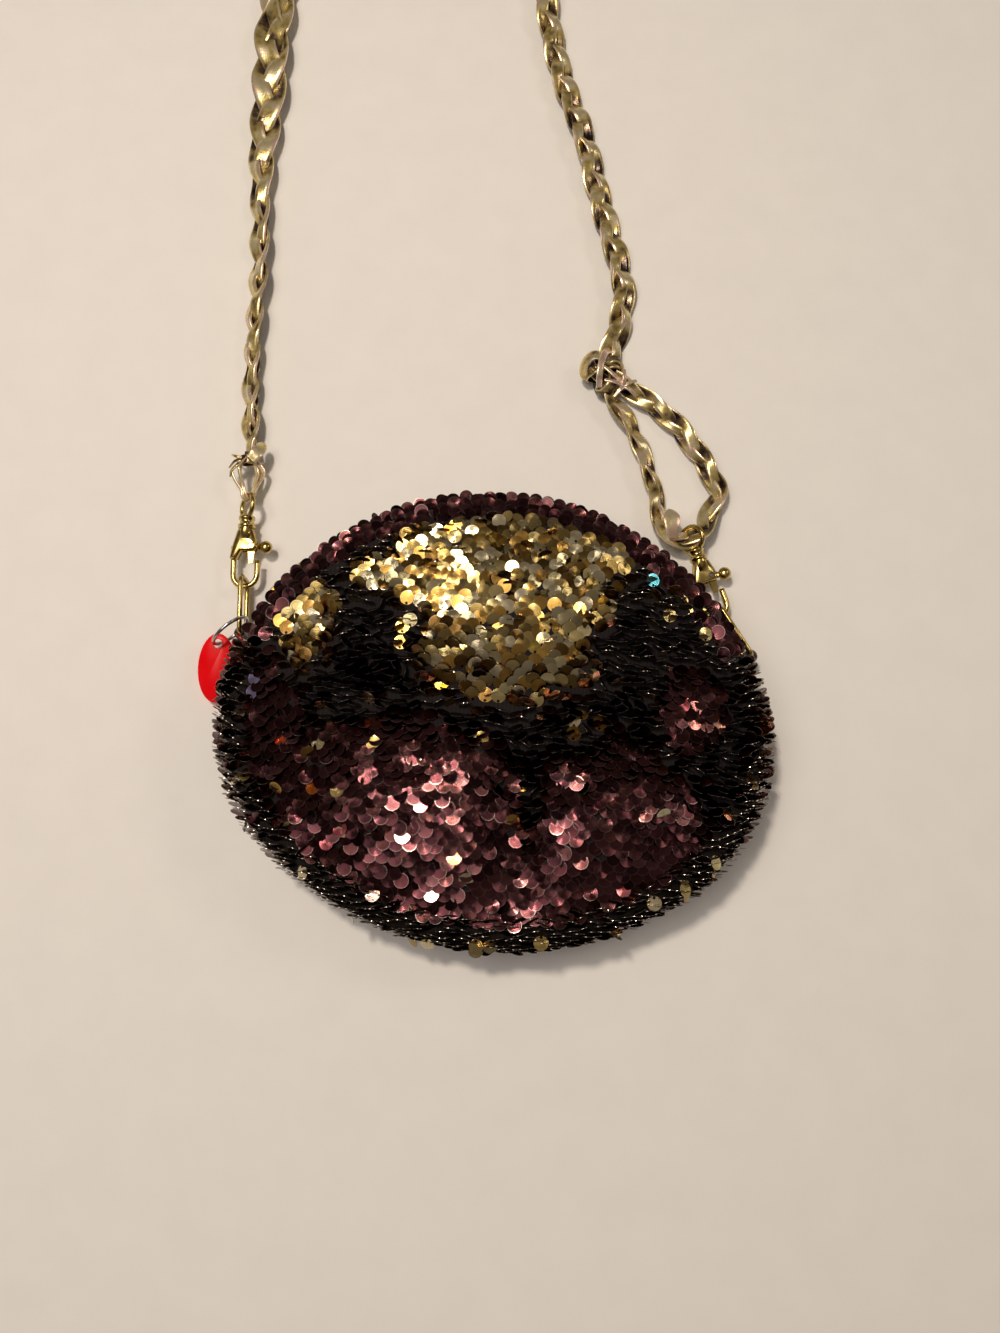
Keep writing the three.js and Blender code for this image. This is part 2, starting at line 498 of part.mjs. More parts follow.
// Swivel clasp: a hook whose gate is a sprung thumb trigger, turning on the eye that holds the strap.
function clasps(side, place) {
  const r = HOOK_WIRE / 2, rest = WIRE / 2 + HOOK_SLACK, bowY = HOOK_R - r - rest;
  const bow = ramp(180, 360, 10).map((t) => onCircle(HOOK_R, t)).map(([x, y]) => V(x, bowY + y));
  const line = [V(-HOOK_R, 13), V(-HOOK_R, 9), V(-HOOK_R, 5), ...bow, V(HOOK_R, 4.4), V(HOOK_R, 7.2)];
  const bodyEdge = [
    [-HOOK_R - r, 8.2], [-3, 8.2], [-1.8, BODY_LOW], [3.5, BODY_LOW], [4.4, 12.4],
    [4.2, 14.8], [2.9, 19.4], [-2.9, 19.4], [-4.6, 13.6],
  ];
  const body = plate(bodyEdge, BODY_THICK, 0.6);
  const slot = TRIGGER_THICK / 2 + CLEAR, headLow = BODY_TOP - 3.6;
  const hook = join(solid(tube(line, HOOK_WIRE, 26, 8)), body, rod(3, V(0, 15.6), V(0, BODY_TOP), 20))
    .subtract(box(-1.6, 8, BODY_LOW - 3, 15.4, -slot, slot))
    .subtract(rod(PIN + CLEAR, V(...PIN_AT, -4), V(...PIN_AT, 4), 16))
    .subtract(rod(2.1, V(0, headLow - CLEAR), V(0, headLow + 1.5), 16))
    .subtract(rod(1.1 + CLEAR, V(0, headLow), V(0, BODY_TOP + 1), 16));
  add(side + "_hook", hook, BRASS, place);
  const pinEnd = BODY_THICK / 2 - 0.1;
  add(side + "_trigger_pin", rod(PIN, V(...PIN_AT, -pinEnd), V(...PIN_AT, pinEnd), 14), STEEL, place);

  const [px, py] = PIN_AT;
  const arm = plate([[px - 1.5, py], [px - 0.9, 6.3], [px + 0.65, 6.3], [px + 1.5, py]], TRIGGER_THICK);
  const neck = plate([[px, py - 1.3], [7.6, py - 1.1], [7.6, py + 0.5], [px, py + 1.3]], TRIGGER_THICK);
  const hub = rod(1.9, V(px, py, -TRIGGER_THICK / 2), V(px, py, TRIGGER_THICK / 2), 20);
  const knob = solid(new THREE.SphereGeometry(KNOB, 12, 8).scale(1, 1, 0.85).translate(7.6, py - 0.4, 0));
  const pinHole = rod(PIN + CLEAR, V(px, py, -4), V(px, py, 4), 16);
  add(side + "_trigger", join(arm, neck, hub, knob).subtract(pinHole), BRASS, place);

  const coil = new THREE.Curve();
  coil.getPoint = (t, p = V(0, 0)) => {
    const a = 2 * SPRING_TURNS * Math.PI * t;
    return p.set(-SPRING_LONG + SPRING_LONG * t, SPRING_AT + SPRING_R * Math.cos(a), SPRING_R * Math.sin(a));
  };
  add(side + "_trigger_spring", tube(coil, SPRING_WIRE, 22, 5), STEEL, place);

  const barrelLow = BODY_TOP + CLEAR, barrelTop = barrelLow + BARREL_LONG, eyeY = barrelTop + EYE_TALL - 0.2;
  const barrel = [
    [0, 0], [3.3, 0], [3.3, 1.1], [2.6, 1.5],
    [2.6, BARREL_LONG - 1.3], [3.1, BARREL_LONG - 0.9], [3.1, BARREL_LONG], [0, BARREL_LONG],
  ];
  const eye = join(
    rod(1.1, V(0, headLow + 0.3), V(0, barrelTop - 1), 16),
    rod(1.8, V(0, headLow), V(0, headLow + 1.2), 16),
    solid(lathe(barrel.map(([r, y]) => [r, barrelLow + y]), 18)),
    eyeLink(eyeY, 0),
  );
  add(side + "_eye", eye, BRASS, place);
  chain[side].eyeY = eyeY;
}

// The eye is a wide oval link, turned part of the way towards the front, so that the strap runs
// through it from over one side to under the other.
function eyeLink(y, grow) {
  const turns = ramp(0, 360, 22).slice(0, 22).map((t) => rad(t));
  const line = turns.map((t) => V(0, y + EYE_TALL * Math.cos(t), EYE_WIDE * Math.sin(t)));
  return solid(wireLink(line, EYE_WIRE + 2 * grow, 8).rotateY(rad(EYE_TURN)));
}

// Hang tag: a plain oval on a jump ring round the upper rail of the left strap ring.
const railTop = from(SEAM_LEFT, TAB_OUT, RING_Z + RING_TALL / 2);
const RING_ALONG = 3.8;
const tagRing = new THREE.Group();
tagRing.position.copy(along(railTop, RING_ALONG, RING_TURN.left));
tagRing.rotation.z = rad(TAG_RING_TURN);
purse.add(tagRing);
const RING_OUT = TAG_RING_R - 2.8, RING_DOWN = 1.6, THREAD = 25;
const jumpRing = new THREE.TorusGeometry(TAG_RING_R, TAG_RING_WIRE / 2, 8, 26).rotateX(Math.PI / 2);
add("tag_ring", jumpRing.translate(RING_OUT, 0, -RING_DOWN), STEEL, tagRing);
const [threadOut, threadDown] = onCircle(TAG_RING_R, THREAD);
const hang = V(RING_OUT + threadOut, 0, -RING_DOWN - threadDown);
const tag = new THREE.Group();
tag.position.copy(hang.clone().applyEuler(tagRing.rotation).add(tagRing.position));
tag.rotation.set(rad(TAG_TILT), 0, rad(TAG_TURN), "ZYX");
purse.add(tag);
const tagEnd = 3.8;
const tagMiddle = tagEnd - TAG_LONG / 2;
const tagEdge = ramp(0, 350, 35)
  .map((t) => rad(t))
  .map((t) => [(TAG_WIDE / 2) * Math.cos(t), tagMiddle + (TAG_LONG / 2) * Math.sin(t)]);
const tagHole = rod(TAG_HOLE, V(0, 0, -3), V(0, 0, 3), 20);
add("hang_tag", plate(tagEdge, TAG_THICK, 0.4).subtract(tagHole), RED, tag);

// Strap: a braid knotted on to both eyes, its spare length wound up and tied.
const leftClasp = chain.left.clasp, eyeTop = chain.left.eyeY + EYE_TALL;
const KNOT_LONG = 14, KNOT_UP = eyeTop + 2, BIGHT = 1.5; // half the thickness of the part round the eye
const knotProfile = [
  [0, 0], [2.6, 0], [5, 2.2], [5.9, 5.4], [5.5, 9], [4.6, 12], [4.4, KNOT_LONG], [0, KNOT_LONG],
];
const bight = new THREE.TorusGeometry(EYE_WIRE / 2 + CLEAR + BIGHT, BIGHT, 8, 20);
const leftKnot = join(
  solid(lathe(knotProfile.map(([r, y]) => [r, KNOT_UP + y]), 20)),
  solid(bight.rotateY(rad(EYE_TURN)).translate(0, eyeTop, 0)),
);
add("left_knot", leftKnot.subtract(eyeLink(chain.left.eyeY, CLEAR + 0.1)), GOLD, leftClasp);
leftClasp.updateMatrixWorld(true);
const onLeft = (y) => V(0, y, STRAP / 2 - CLASP_Z).applyMatrix4(leftClasp.matrixWorld);

const LOW = STRAP / 2 + 0.2, LAYER1 = LOW + TIE + CLEAR + 0.3, LAYER2 = LAYER1 + STRAP + 0.5;
const at = (z) => ([x, y]) => V(x, y, z);
const leftRun = [
  onLeft(KNOT_UP + KNOT_LONG + CLEAR),
  onLeft(eyeTop + 24),
  ...[
    [-108.6, 116], [-110, 128], [-111.8, 142], [-113, 156], [-114, 176], [-116, 194],
    [-118.5, 210], [-120.6, 226], [-121.6, 244], [-122.4, 264], [-123.6, 289], [-124.6, 312],
  ].map(at(LOW)),
  V(-125.6, 332, LOW + 0.3), V(-126, 350, LAYER1), V(-126, COIL.y - STRAP - CLEAR, LAYER1),
];
add("strap_left", tube(leftRun, STRAP, 34), GOLD);

// Put-away length: half a turn in on the lower layer, half a turn up, half a turn out on the upper layer.
const wound = new THREE.Curve();
const WOUND = 3 * Math.PI, MEAN = (COIL.outer + COIL.inner) / 2;
const STRAIGHT = STRAP / (WOUND * MEAN + 2 * STRAP);
wound.getPoint = (t, p = V(0, 0)) => {
  const u = (t - STRAIGHT) / (1 - 2 * STRAIGHT);
  if (u < 0) return p.set(COIL.x - COIL.outer, COIL.y - STRAP * (1 - t / STRAIGHT), LAYER1);
  if (u > 1) return p.set(COIL.x + COIL.outer, COIL.y - STRAP * (1 - (1 - t) / STRAIGHT), LAYER2);
  const a = Math.PI - u * WOUND, part = u * 3, climb = THREE.MathUtils.smoothstep(part, 1, 2);
  const r = COIL.outer - (COIL.outer - COIL.inner) * (part < 1 ? part : part > 2 ? 3 - part : 1);
  return p.set(COIL.x + r * Math.cos(a), COIL.y + r * Math.sin(a), LAYER1 + (LAYER2 - LAYER1) * climb);
};
wound.getPointAt = wound.getPoint;
add("strap_coil", tube(wound, STRAP, 40, 6), GOLD);
let least = Infinity;
const points = ramp(0, 1, 400).map((t) => wound.getPoint(t, V(0, 0)));
points.forEach((p, i) => points.slice(i + 40).forEach((q) => (least = Math.min(least, p.distanceTo(q)))));
console.log("strap_coil: least gap to itself " + (least - STRAP).toFixed(2) + " mm");

const rightKnotAt = [29, 142, 6.4], rightKnotHalf = [7.4, 8, 6.2];
const rightKnot = (grow) => {
  const ball = new THREE.SphereGeometry(1, 20, 12).scale(...rightKnotHalf.map((half) => half + grow));
  return solid(ball.translate(...rightKnotAt));
};
add("right_knot", rightKnot(0), GOLD);
const rightRun = [
  V(-12, COIL.y - STRAP - CLEAR, LAYER2),
  V(-12, COIL.y - 1.6 * STRAP, LAYER2 - 0.1),
  V(-12.2, 347, LAYER2 - 2.6),
  V(-12.4, 331, LOW + 3),
  V(-12.2, 321, LOW + 0.7),
  ...[
    [-11.4, 311], [-5, 289], [1.4, 269.5], [9.8, 248.7], [16.1, 232], [22, 215.4],
    [27, 200], [31.4, 186], [33.2, 173], [32, 160], [29.8, 150], [29, 142],
  ].map(at(LOW)),
];
add("strap_right", solid(tube(rightRun, STRAP, 34)).subtract(rightKnot(CLEAR)), GOLD);

// The loop tied through the right eye, pulled thin where it bends in the eye.
chain.right.clasp.updateMatrixWorld(true);
const inEye = (x, y, z) => V(x, y, z).applyMatrix4(chain.right.clasp.matrixWorld);
const eyeUp = chain.right.eyeY, thin = STRAP_LOOP / 2 + 0.3;
const inEyeRun = [[-9, 5.6, -1.4], [-5, 0.9, -0.4], [0, 0, 0], [5, 1.4, -0.4], [9, 6.2, -1.6]];
const loopLine = [
  V(30, 139, 4.4),
  ...[[33, 132.4], [38.4, 125.5], [44.4, 114.6], [49, 104.5], [53, 94.5]].map(at(thin)),
  ...inEyeRun.map(([x, y, z]) => inEye(x, eyeUp + y, z)),
  ...[[77.2, 99], [72, 108.4], [65.4, 117.4], [58.4, 124.8], [49, 131.8], [40.5, 137]].map(at(thin)),
  V(32, 141, 4.6),
];
add("strap_loop", solid(tube(loopLine, STRAP_LOOP, 32)).subtract(rightKnot(CLEAR)), GOLD);

// Tie: a soft band round both layers of the wound strap.
const tieHalf = STRAP / 2 + CLEAR + 0.3;
const tieEdge = (grow) => {
  const bend = (first, z) =>
    ramp(first, first + 180, 10).map((t) => onCircle(tieHalf + grow, t)).map(([x, y]) => [x, z + y]);
  return [...bend(0, LAYER2), ...bend(180, LAYER1)];
};
const tieRing = plate(tieEdge(TIE), TIE_WIDE).subtract(plate(tieEdge(0), TIE_WIDE + 3));
const tieBand = geometryOf(tieRing).rotateX(Math.PI / 2).rotateZ(Math.PI / 2);
add("coil_tie", tieBand.translate(COIL.x, COIL.y + MEAN, 0), GOLD);

export default purse;
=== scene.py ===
# %% [markdown]
# # A sequinned crossbody purse
# The CAD model holds the true sizes: an oval bag that lies on its back, its zip, its two swivel clasps and
# its strap. This script dresses that model. The slumped cloth gets several thousand sewn sequins, the strap
# becomes a real braid, and the metal gets its polish. Lengths are in millimetres until a mesh is made.
# Lamps, floor and bumps are in metres.

import json
import math

import bpy
import numpy as np
from mathutils import Matrix, Vector, noise

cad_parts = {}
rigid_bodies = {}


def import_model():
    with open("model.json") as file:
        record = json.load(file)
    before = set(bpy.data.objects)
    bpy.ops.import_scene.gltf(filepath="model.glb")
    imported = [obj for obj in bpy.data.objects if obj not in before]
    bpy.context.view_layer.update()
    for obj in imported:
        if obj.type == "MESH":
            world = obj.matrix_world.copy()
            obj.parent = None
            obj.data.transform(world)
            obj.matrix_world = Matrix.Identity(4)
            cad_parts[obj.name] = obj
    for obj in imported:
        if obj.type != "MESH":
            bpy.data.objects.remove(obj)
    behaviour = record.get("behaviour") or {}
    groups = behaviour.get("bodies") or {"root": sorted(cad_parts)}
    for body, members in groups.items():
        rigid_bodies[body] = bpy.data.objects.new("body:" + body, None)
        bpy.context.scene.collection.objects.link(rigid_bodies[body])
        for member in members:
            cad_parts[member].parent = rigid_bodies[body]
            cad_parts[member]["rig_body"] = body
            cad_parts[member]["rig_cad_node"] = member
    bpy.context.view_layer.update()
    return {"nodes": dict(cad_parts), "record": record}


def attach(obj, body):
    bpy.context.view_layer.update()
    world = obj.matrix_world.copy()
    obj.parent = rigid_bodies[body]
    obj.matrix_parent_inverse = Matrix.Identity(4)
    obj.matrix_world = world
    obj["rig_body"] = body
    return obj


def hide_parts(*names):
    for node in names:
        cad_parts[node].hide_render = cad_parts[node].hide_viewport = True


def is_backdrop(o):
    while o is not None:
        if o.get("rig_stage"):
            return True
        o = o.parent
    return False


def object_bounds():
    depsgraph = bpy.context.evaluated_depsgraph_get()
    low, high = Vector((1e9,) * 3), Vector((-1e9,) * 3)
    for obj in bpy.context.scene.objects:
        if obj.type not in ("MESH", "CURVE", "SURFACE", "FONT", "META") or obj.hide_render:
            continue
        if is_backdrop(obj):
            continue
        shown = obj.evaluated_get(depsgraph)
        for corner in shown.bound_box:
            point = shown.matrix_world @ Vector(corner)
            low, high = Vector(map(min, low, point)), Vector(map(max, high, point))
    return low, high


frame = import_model()
nodes = frame["nodes"]
MM = 0.001
print("CAD nodes:", len(nodes))

# %% [markdown]
# ## Camera
# The camera hangs about 37 cm above the floor, as a phone held over the bag does, so the raised middle
# looms. It stands a little below the bag's middle and looks up its height, which shows more of the lower
# edge.

# %% Camera
EYE = Vector((6.6, -43.4, 374.2)) * MM
LOOK = Vector((-0.0181, 0.1727, -0.9848)).normalized()
RIGHT = Vector((0.9945, 0.1045, 0.0)).normalized()
camera = bpy.data.objects.new("camera", bpy.data.cameras.new("camera"))
bpy.context.collection.objects.link(camera)
camera.data.sensor_fit = "VERTICAL"
camera.data.sensor_height = 36
camera.data.lens = 27.0
turn = Matrix((RIGHT, RIGHT.cross(LOOK), -LOOK)).transposed()
camera.matrix_world = Matrix.Translation(EYE) @ turn.to_4x4()
bpy.context.scene.camera = camera
print("camera lens: %.0f mm" % camera.data.lens)

# %% [markdown]
# ## Colours and nodes
# A hex value is how a screen shows a colour, so one function turns it to the linear numbers that a shader
# needs. A second small function adds a node with its settings and links, and every material below is made
# with it.

# %% Colour and node helpers


def linear(hexa):
    parts = [int(hexa[i : i + 2], 16) / 255 for i in (1, 3, 5)]
    return [c / 12.92 if c <= 0.04045 else ((c + 0.055) / 1.055) ** 2.4 for c in parts] + [1.0]


def put(tree, kind, settings=None, **links):
    """Adds a node. The setting called stops is a colour ramp's list of places and hex colours."""
    node = tree.nodes.new("ShaderNode" + kind)
    settings = dict(settings or {})
    stops = settings.pop("stops", ())
    for key, value in settings.items():
        setattr(node, key, value)
    while stops and len(node.color_ramp.elements) < len(stops):
        node.color_ramp.elements.new(0.5)
    for i, (place, hexa) in enumerate(stops):
        point = node.color_ramp.elements[i]
        point.position, point.color = place, linear(hexa)
    for key, value in links.items():
        socket = node.inputs[int(key[1:]) if key[1:].isdigit() else key.replace("_", " ")]
        if isinstance(value, bpy.types.NodeSocket):
            tree.links.new(value, socket)
        else:
            socket.default_value = value
    return node


def surface(name, **settings):
    """A material, its nodes, its shader and the place on the object, which patterns follow."""
    made = bpy.data.materials.new(name)
    made.use_nodes = True
    shader = made.node_tree.nodes["Principled BSDF"]
    for key, value in settings.items():
        shader.inputs[key.replace("_", " ")].default_value = value
    place = put(made.node_tree, "TexCoord").outputs["Object"]
    print("material:", name)
    return made, made.node_tree, shader, place


def join(tree, shader, **links):
    for key, socket in links.items():
        tree.links.new(socket, shader.inputs[key.replace("_", " ")])


# %% [markdown]
# ## Meshes from grids
# Cloth, tape and strands are all rows of points. One function skins such a grid, and a second sweeps a flat
# rounded section along a line.

# %% Grid and sweep helpers
SIDES = 14  # corners of a strip's section
# Painted highlight: a strip's edges are painted paler.
PAINTED_EDGE_HIGHLIGHT = 0.32  # how much paler a strip's edges are


def select_only(piece):
    bpy.ops.object.select_all(action="DESELECT")
    piece.select_set(True)
    bpy.context.view_layer.objects.active = piece


def mode(name):
    bpy.ops.object.mode_set(mode=name)


def finish_piece(name, verts, faces, material, body, smooth=None):
    mesh = bpy.data.meshes.new(name)
    mesh.from_pydata((np.asarray(verts) * MM).tolist(), [], faces)
    mesh.update()
    piece = bpy.data.objects.new(name, mesh)
    bpy.context.collection.objects.link(piece)
    mesh.materials.append(material)
    if smooth is not None:
        select_only(piece)
        bpy.ops.object.shade_smooth_by_angle(angle=math.radians(smooth))
    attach(piece, body)
    return piece


def unit(v):
    return v / np.maximum(np.linalg.norm(v, axis=-1, keepdims=True), 1e-9)


def grid_faces(rows, cols, wrap, start=0):
    faces = []
    for i in range(rows - 1):
        this, after = start + i * cols, start + (i + 1) * cols
        for j in range(cols if wrap else cols - 1):
            k = (j + 1) % cols
            faces.append([this + j, this + k, after + k, after + j])
    return faces


def steps(line):
    return np.linalg.norm(np.diff(line, axis=0), axis=1)


def blend(t, low, high, a, b):
    return (high - t) / (high - low) * a + (t - low) / (high - low) * b


def smooth_line(points, gap):
    """A centripetal Catmull-Rom curve through the points, as the CAD tube follows, in steps of about gap."""
    p = np.array(points, float)
    p = np.vstack([2 * p[0] - p[1], p, 2 * p[-1] - p[-2]])
    out = []
    for a, b, c, d in zip(p, p[1:], p[2:], p[3:]):
        gaps = [max(np.linalg.norm(v - u), 1e-6) ** 0.5 for u, v in ((a, b), (b, c), (c, d))]
        k0, k1, k2, k3 = np.cumsum([0.0, *gaps])
        t = np.linspace(k1, k2, 24, endpoint=False)[:, None]
        a1, a2, a3 = blend(t, k0, k1, a, b), blend(t, k1, k2, b, c), blend(t, k2, k3, c, d)
        b1, b2 = blend(t, k0, k2, a1, a2), blend(t, k1, k3, a2, a3)
        out.append(blend(t, k1, k2, b1, b2))
    return even_steps(np.vstack(out + [p[-2][None]]), gap)


def even_steps(line, gap):
    along = np.concatenate([[0], np.cumsum(steps(line))])
    places = np.linspace(0, along[-1], max(4, int(round(along[-1] / gap)) + 1))
    return np.stack([np.interp(places, along, line[:, k]) for k in range(3)], -1)


def sweep(line, flat, wide, thick, start, loop=False):
    """A strip along a line, with folded edges: its section has two ridges and a groove between them."""
    way = unit(np.roll(line, -1, 0) - np.roll(line, 1, 0)) if loop else unit(np.gradient(line, axis=0))
    across = unit(np.cross(way, flat))
    up = np.cross(across, way)
    t = (np.arange(SIDES) + 0.5) * 2 * math.pi / SIDES
    c = np.cos(t)
    ridges = 0.62 + 0.38 * np.sin(np.abs(c) * 2.2)
    s = np.sign(np.sin(t)) * np.abs(np.sin(t)) ** 0.7 * ridges
    wide, thick = np.broadcast_to(wide, len(line)), np.broadcast_to(thick, len(line))
    out = across[:, None] * (c * wide[:, None] / 2)[..., None]
    ring = line[:, None] + out + up[:, None] * (s * thick[:, None] / 2)[..., None]
    faces = grid_faces(len(line), SIDES, True, start)
    n = start + (len(line) - 1) * SIDES
    if loop:
        faces += [[n + j, n + (j + 1) % SIDES, start + (j + 1) % SIDES, start + j] for j in range(SIDES)]
    else:
        faces += [[start + j for j in reversed(range(SIDES))], [n + j for j in range(SIDES)]]
    return ring.reshape(-1, 3), [face[::-1] for face in faces]  # turned to point outwards


def many(parts):
    """Strips as one mesh, with painted light for each point: a painted highlight along a strip's edges and
    where it is on top, painted shade where it dips under.
    """
    verts, faces, painted_lights, n = [], [], [], 0
    edge = np.abs(np.cos((np.arange(SIDES) + 0.5) * 2 * math.pi / SIDES)) ** 8
    for line, flat, wide, thick, over, *loop in parts:
        v, f = sweep(line, flat, wide, thick, n, *loop)
        verts.append(v)
        faces += f
        # Painted light for each point: the crossing's painted highlight or shade, plus the painted highlight
        # on the edges.
        painted_lights.append((np.broadcast_to(over, len(line))[:, None] + PAINTED_EDGE_HIGHLIGHT * edge).ravel())
        n += len(v)
    return np.vstack(verts), faces, np.concatenate(painted_lights)


def strips(name, made, replaced=()):
    verts, faces, painted_lights = made
    piece = finish_piece(name, verts, faces, leatherette, "bag", 50)
    # The painted light goes on as a point attribute, which the leatherette reads.
    piece.data.attributes.new("painted_light", "FLOAT", "POINT").data.foreach_set("value", painted_lights.astype(np.float32))
    if replaced:
        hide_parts(*replaced)
    print(name, len(faces), "faces")
    return piece


# %% [markdown]
# ## Leatherette for the strap
# The strap is plaited from strips of leatherette: knitted cotton under a foil of gold polyurethane. The
# foil mirrors its surroundings softly and has worn and fresh patches. A painted highlight makes it pale on
# its high edges and where a strip lies on top, and painted shade turns it dark brown where the strips dip
# under each other.

# %% Leatherette material
FOIL_PATCH = 7.0  # millimetres between worn and fresh foil
FOIL_GRAIN = 0.9  # embossed grain, drawn as coarse as it shows
# The ramp runs from painted shade under the crossings, through the foil's gold, to painted highlights and
# worn pale foil.
FOIL_TONES = (
    (0.26, "#2A1E1C"), (0.4, "#665446"), (0.54, "#CDB672"),
    (0.68, "#E6DAB2"), (0.84, "#E6C2AC"), (1.0, "#F8ECE2"),
)
leatherette, tree, shader, place = surface("gold_foiled_leatherette", Metallic=0.7, IOR=1.5)
patches = put(tree, "TexNoise", Vector=place, Scale=1000 / FOIL_PATCH, Detail=3.0).outputs["Fac"]
# The foil's worn patches are added to the painted light of its edges and crossings.
painted_light = put(tree, "Attribute", {"attribute_name": "painted_light"}).outputs["Fac"]
wear_and_painted_light = put(tree, "Math", {"operation": "ADD"}, _0=patches, _1=painted_light).outputs[0]
tint = put(tree, "ValToRGB", {"stops": FOIL_TONES}, Fac=wear_and_painted_light).outputs["Color"]
rough = put(tree, "MapRange", Value=patches, To_Min=0.14, To_Max=0.36).outputs["Result"]
grain = put(tree, "TexVoronoi", Vector=place, Scale=1000 / FOIL_GRAIN).outputs["Distance"]
bump = put(tree, "Bump", Strength=0.22, Distance=0.00012, Height=grain).outputs["Normal"]
join(tree, shader, Base_Color=tint, Roughness=rough, Normal=bump)

# %% [markdown]
# ## Strap
# The strap is a flat plait of three strips. Each strip swings from side to side along a sine, and crosses
# the others by rising and dipping twice as often. It follows the CAD route: up from the left clasp, out of
# the picture into a tied coil, back down to the knot on the right. The plait is made several times, and
# each time its line is lowered or lifted, until it lies on the floor. Near the left clasp the plait is
# narrow and rolled halfway onto its edge, and at the top of the picture it is wide and flat.

# %% Strap route
STRAP, TIE, CLEAR = 9.0, 1.1, 0.3
FLOOR_GAP = 0.2
LOW = STRAP / 2 + FLOOR_GAP
LAYER1 = LOW + TIE + CLEAR + 0.3
LAYER2 = LAYER1 + STRAP + 0.5
COIL_X, COIL_Y, COIL_OUT, COIL_IN = -69.0, 372.0, 57.0, 52.0
LEFT_CLASP = np.array([-99.952, 44.313, 6.3]), math.radians(6.5)
RIGHT_CLASP = np.array([78.86, 51.171, 6.3]), math.radians(23)
STEP = 1.5


def on_clasp(clasp, points):
    origin, angle = clasp
    p = np.array(points, float)
    c, s = math.cos(angle), math.sin(angle)
    return origin + np.stack([p[:, 0] * c - p[:, 1] * s, p[:, 0] * s + p[:, 1] * c, p[:, 2]], -1)


def laid(points, height):
    return [(x, y, height) for x, y in points]


LEFT_ON_FLOOR = (
    (-108.6, 116), (-110, 128), (-111.8, 142), (-113, 156), (-114, 176), (-116, 194),
    (-118.5, 210), (-120.6, 226), (-121.6, 244), (-122.4, 264), (-123.6, 289), (-124.6, 312),
)
LEFT_CLIMB = (-125.6, 332, LOW + 0.3), (-126, 350, LAYER1), (-126, COIL_Y - STRAP, LAYER1)
RIGHT_FALL = (
    (-12, COIL_Y - STRAP, LAYER2), (-12, COIL_Y - 1.6 * STRAP, LAYER2 - 0.1), (-12.2, 347, LAYER2 - 2.6),
    (-12.4, 331, LOW + 3), (-12.2, 321, LOW + 0.7),
)
RIGHT_ON_FLOOR = (
    (-11.4, 311), (-5, 289), (1.4, 269.5), (9.8, 248.7), (16.1, 232), (22, 215.4),
    (27, 200), (31.4, 186), (33.2, 173), (32, 160), (29.8, 150), (29.2, 144),
)
start = on_clasp(LEFT_CLASP, [(0, 49.9, -1.8), (0, 57.6, -1.8)])
left_run = [*start, *laid(LEFT_ON_FLOOR, LOW), *LEFT_CLIMB]
right_run = [*RIGHT_FALL, *laid(RIGHT_ON_FLOOR, LOW)]
HALF_TURNS = 3
wound = []
for u in np.linspace(0, 1, 120):
    part, angle = HALF_TURNS * u, math.pi - HALF_TURNS * math.pi * u
    climb = min(max(part - 1, 0), 1)
    inward = part if part < 1 else HALF_TURNS - part if part > 2 else 1
    r = COIL_OUT - (COIL_OUT - COIL_IN) * inward
    height = LAYER1 + (LAYER2 - LAYER1) * climb * climb * (3 - 2 * climb)
    wound.append((COIL_X + r * math.cos(angle), COIL_Y + r * math.sin(angle), height))
strap_line = even_steps(np.vstack([smooth_line(left_run, STEP), wound, smooth_line(right_run, STEP)]), STEP)

# %% Strap braid
UP = np.array([0.0, 0.0, 1.0])
STRIP_THICK, STRIP_RISE = 1.9, 1.5
REACH_OF_LIFT = 9  # neighbours to each side that share a lift
BELOW_COIL = 340
PLAIT = 46.0  # length of one full plait


def braid(line, turn, swing, rise, tape, thick, period):
    """Three strips plaited round a line. turn is the plait's roll about its own line, in radians."""
    n = len(line)
    way = unit(np.gradient(line, axis=0))
    side = unit(np.cross(way, UP))
    up = np.cross(side, way)
    turn, swing, rise, tape = (np.broadcast_to(v, n)[:, None] for v in (turn, swing, rise, tape))
    wide, flat = side * np.cos(turn) + up * np.sin(turn), up * np.cos(turn) - side * np.sin(turn)
    phase = np.cumsum(np.linalg.norm(line[1] - line[0]) / np.broadcast_to(period, n))
    parts = []
    for k in range(3):
        t = (2 * math.pi * (phase + k / 3))[:, None]
        strand = line + wide * swing * np.sin(t) + flat * rise * np.sin(2 * t)
        roll = 0.5 * np.cos(t + 0.6) + 0.25 * np.sin(0.31 * t + k)
        facing = flat * np.cos(roll) + wide * np.sin(roll)
        broad = tape[:, 0] * (1 + 0.14 * np.sin(t[:, 0] * 0.37 + k))
        # Painted light: a strip is paler where it crosses on top, and darker, as painted shade, where it dips
        # under.
        over = 0.16 * np.sin(2 * t[:, 0]) - 0.04
        parts.append((strand, facing, broad, thick, over))
    return many(parts)


y = strap_line[:, 1]
on_left = strap_line[:, 0] < -80
left_stand = np.interp(y, [95, 150, 205, 240, 330], [0.8, 0.7, 0.5, 0.15, 0.0])
stand = np.where(on_left, left_stand, np.interp(y, [144, 200, 300], [0.4, 0.3, 0.1]))
LEFT_AT = [92, 104, 150, 205, 235, 262, 300, 345, 362]
left_wide = np.interp(y, LEFT_AT, [3.6, 4.6, 4.9, 5.1, 6.9, 8.0, 8.2, 6.0, 5.2])
half_wide = np.where(on_left, left_wide, np.interp(y, [144, 156, 330, 350], [4.6, 5.3, 5.3, 5.0]))
half_wide[y > COIL_Y - 5] = 5.0
pitch = np.where(on_left, np.interp(y, [150, 250], [PLAIT, 58]), PLAIT)


def near(values):
    """The values at each place along the strap and its neighbours, one row for each neighbour."""
    padded = np.pad(values, REACH_OF_LIFT, mode="edge")
    return np.array([padded[i : i + len(values)] for i in range(2 * REACH_OF_LIFT + 1)])


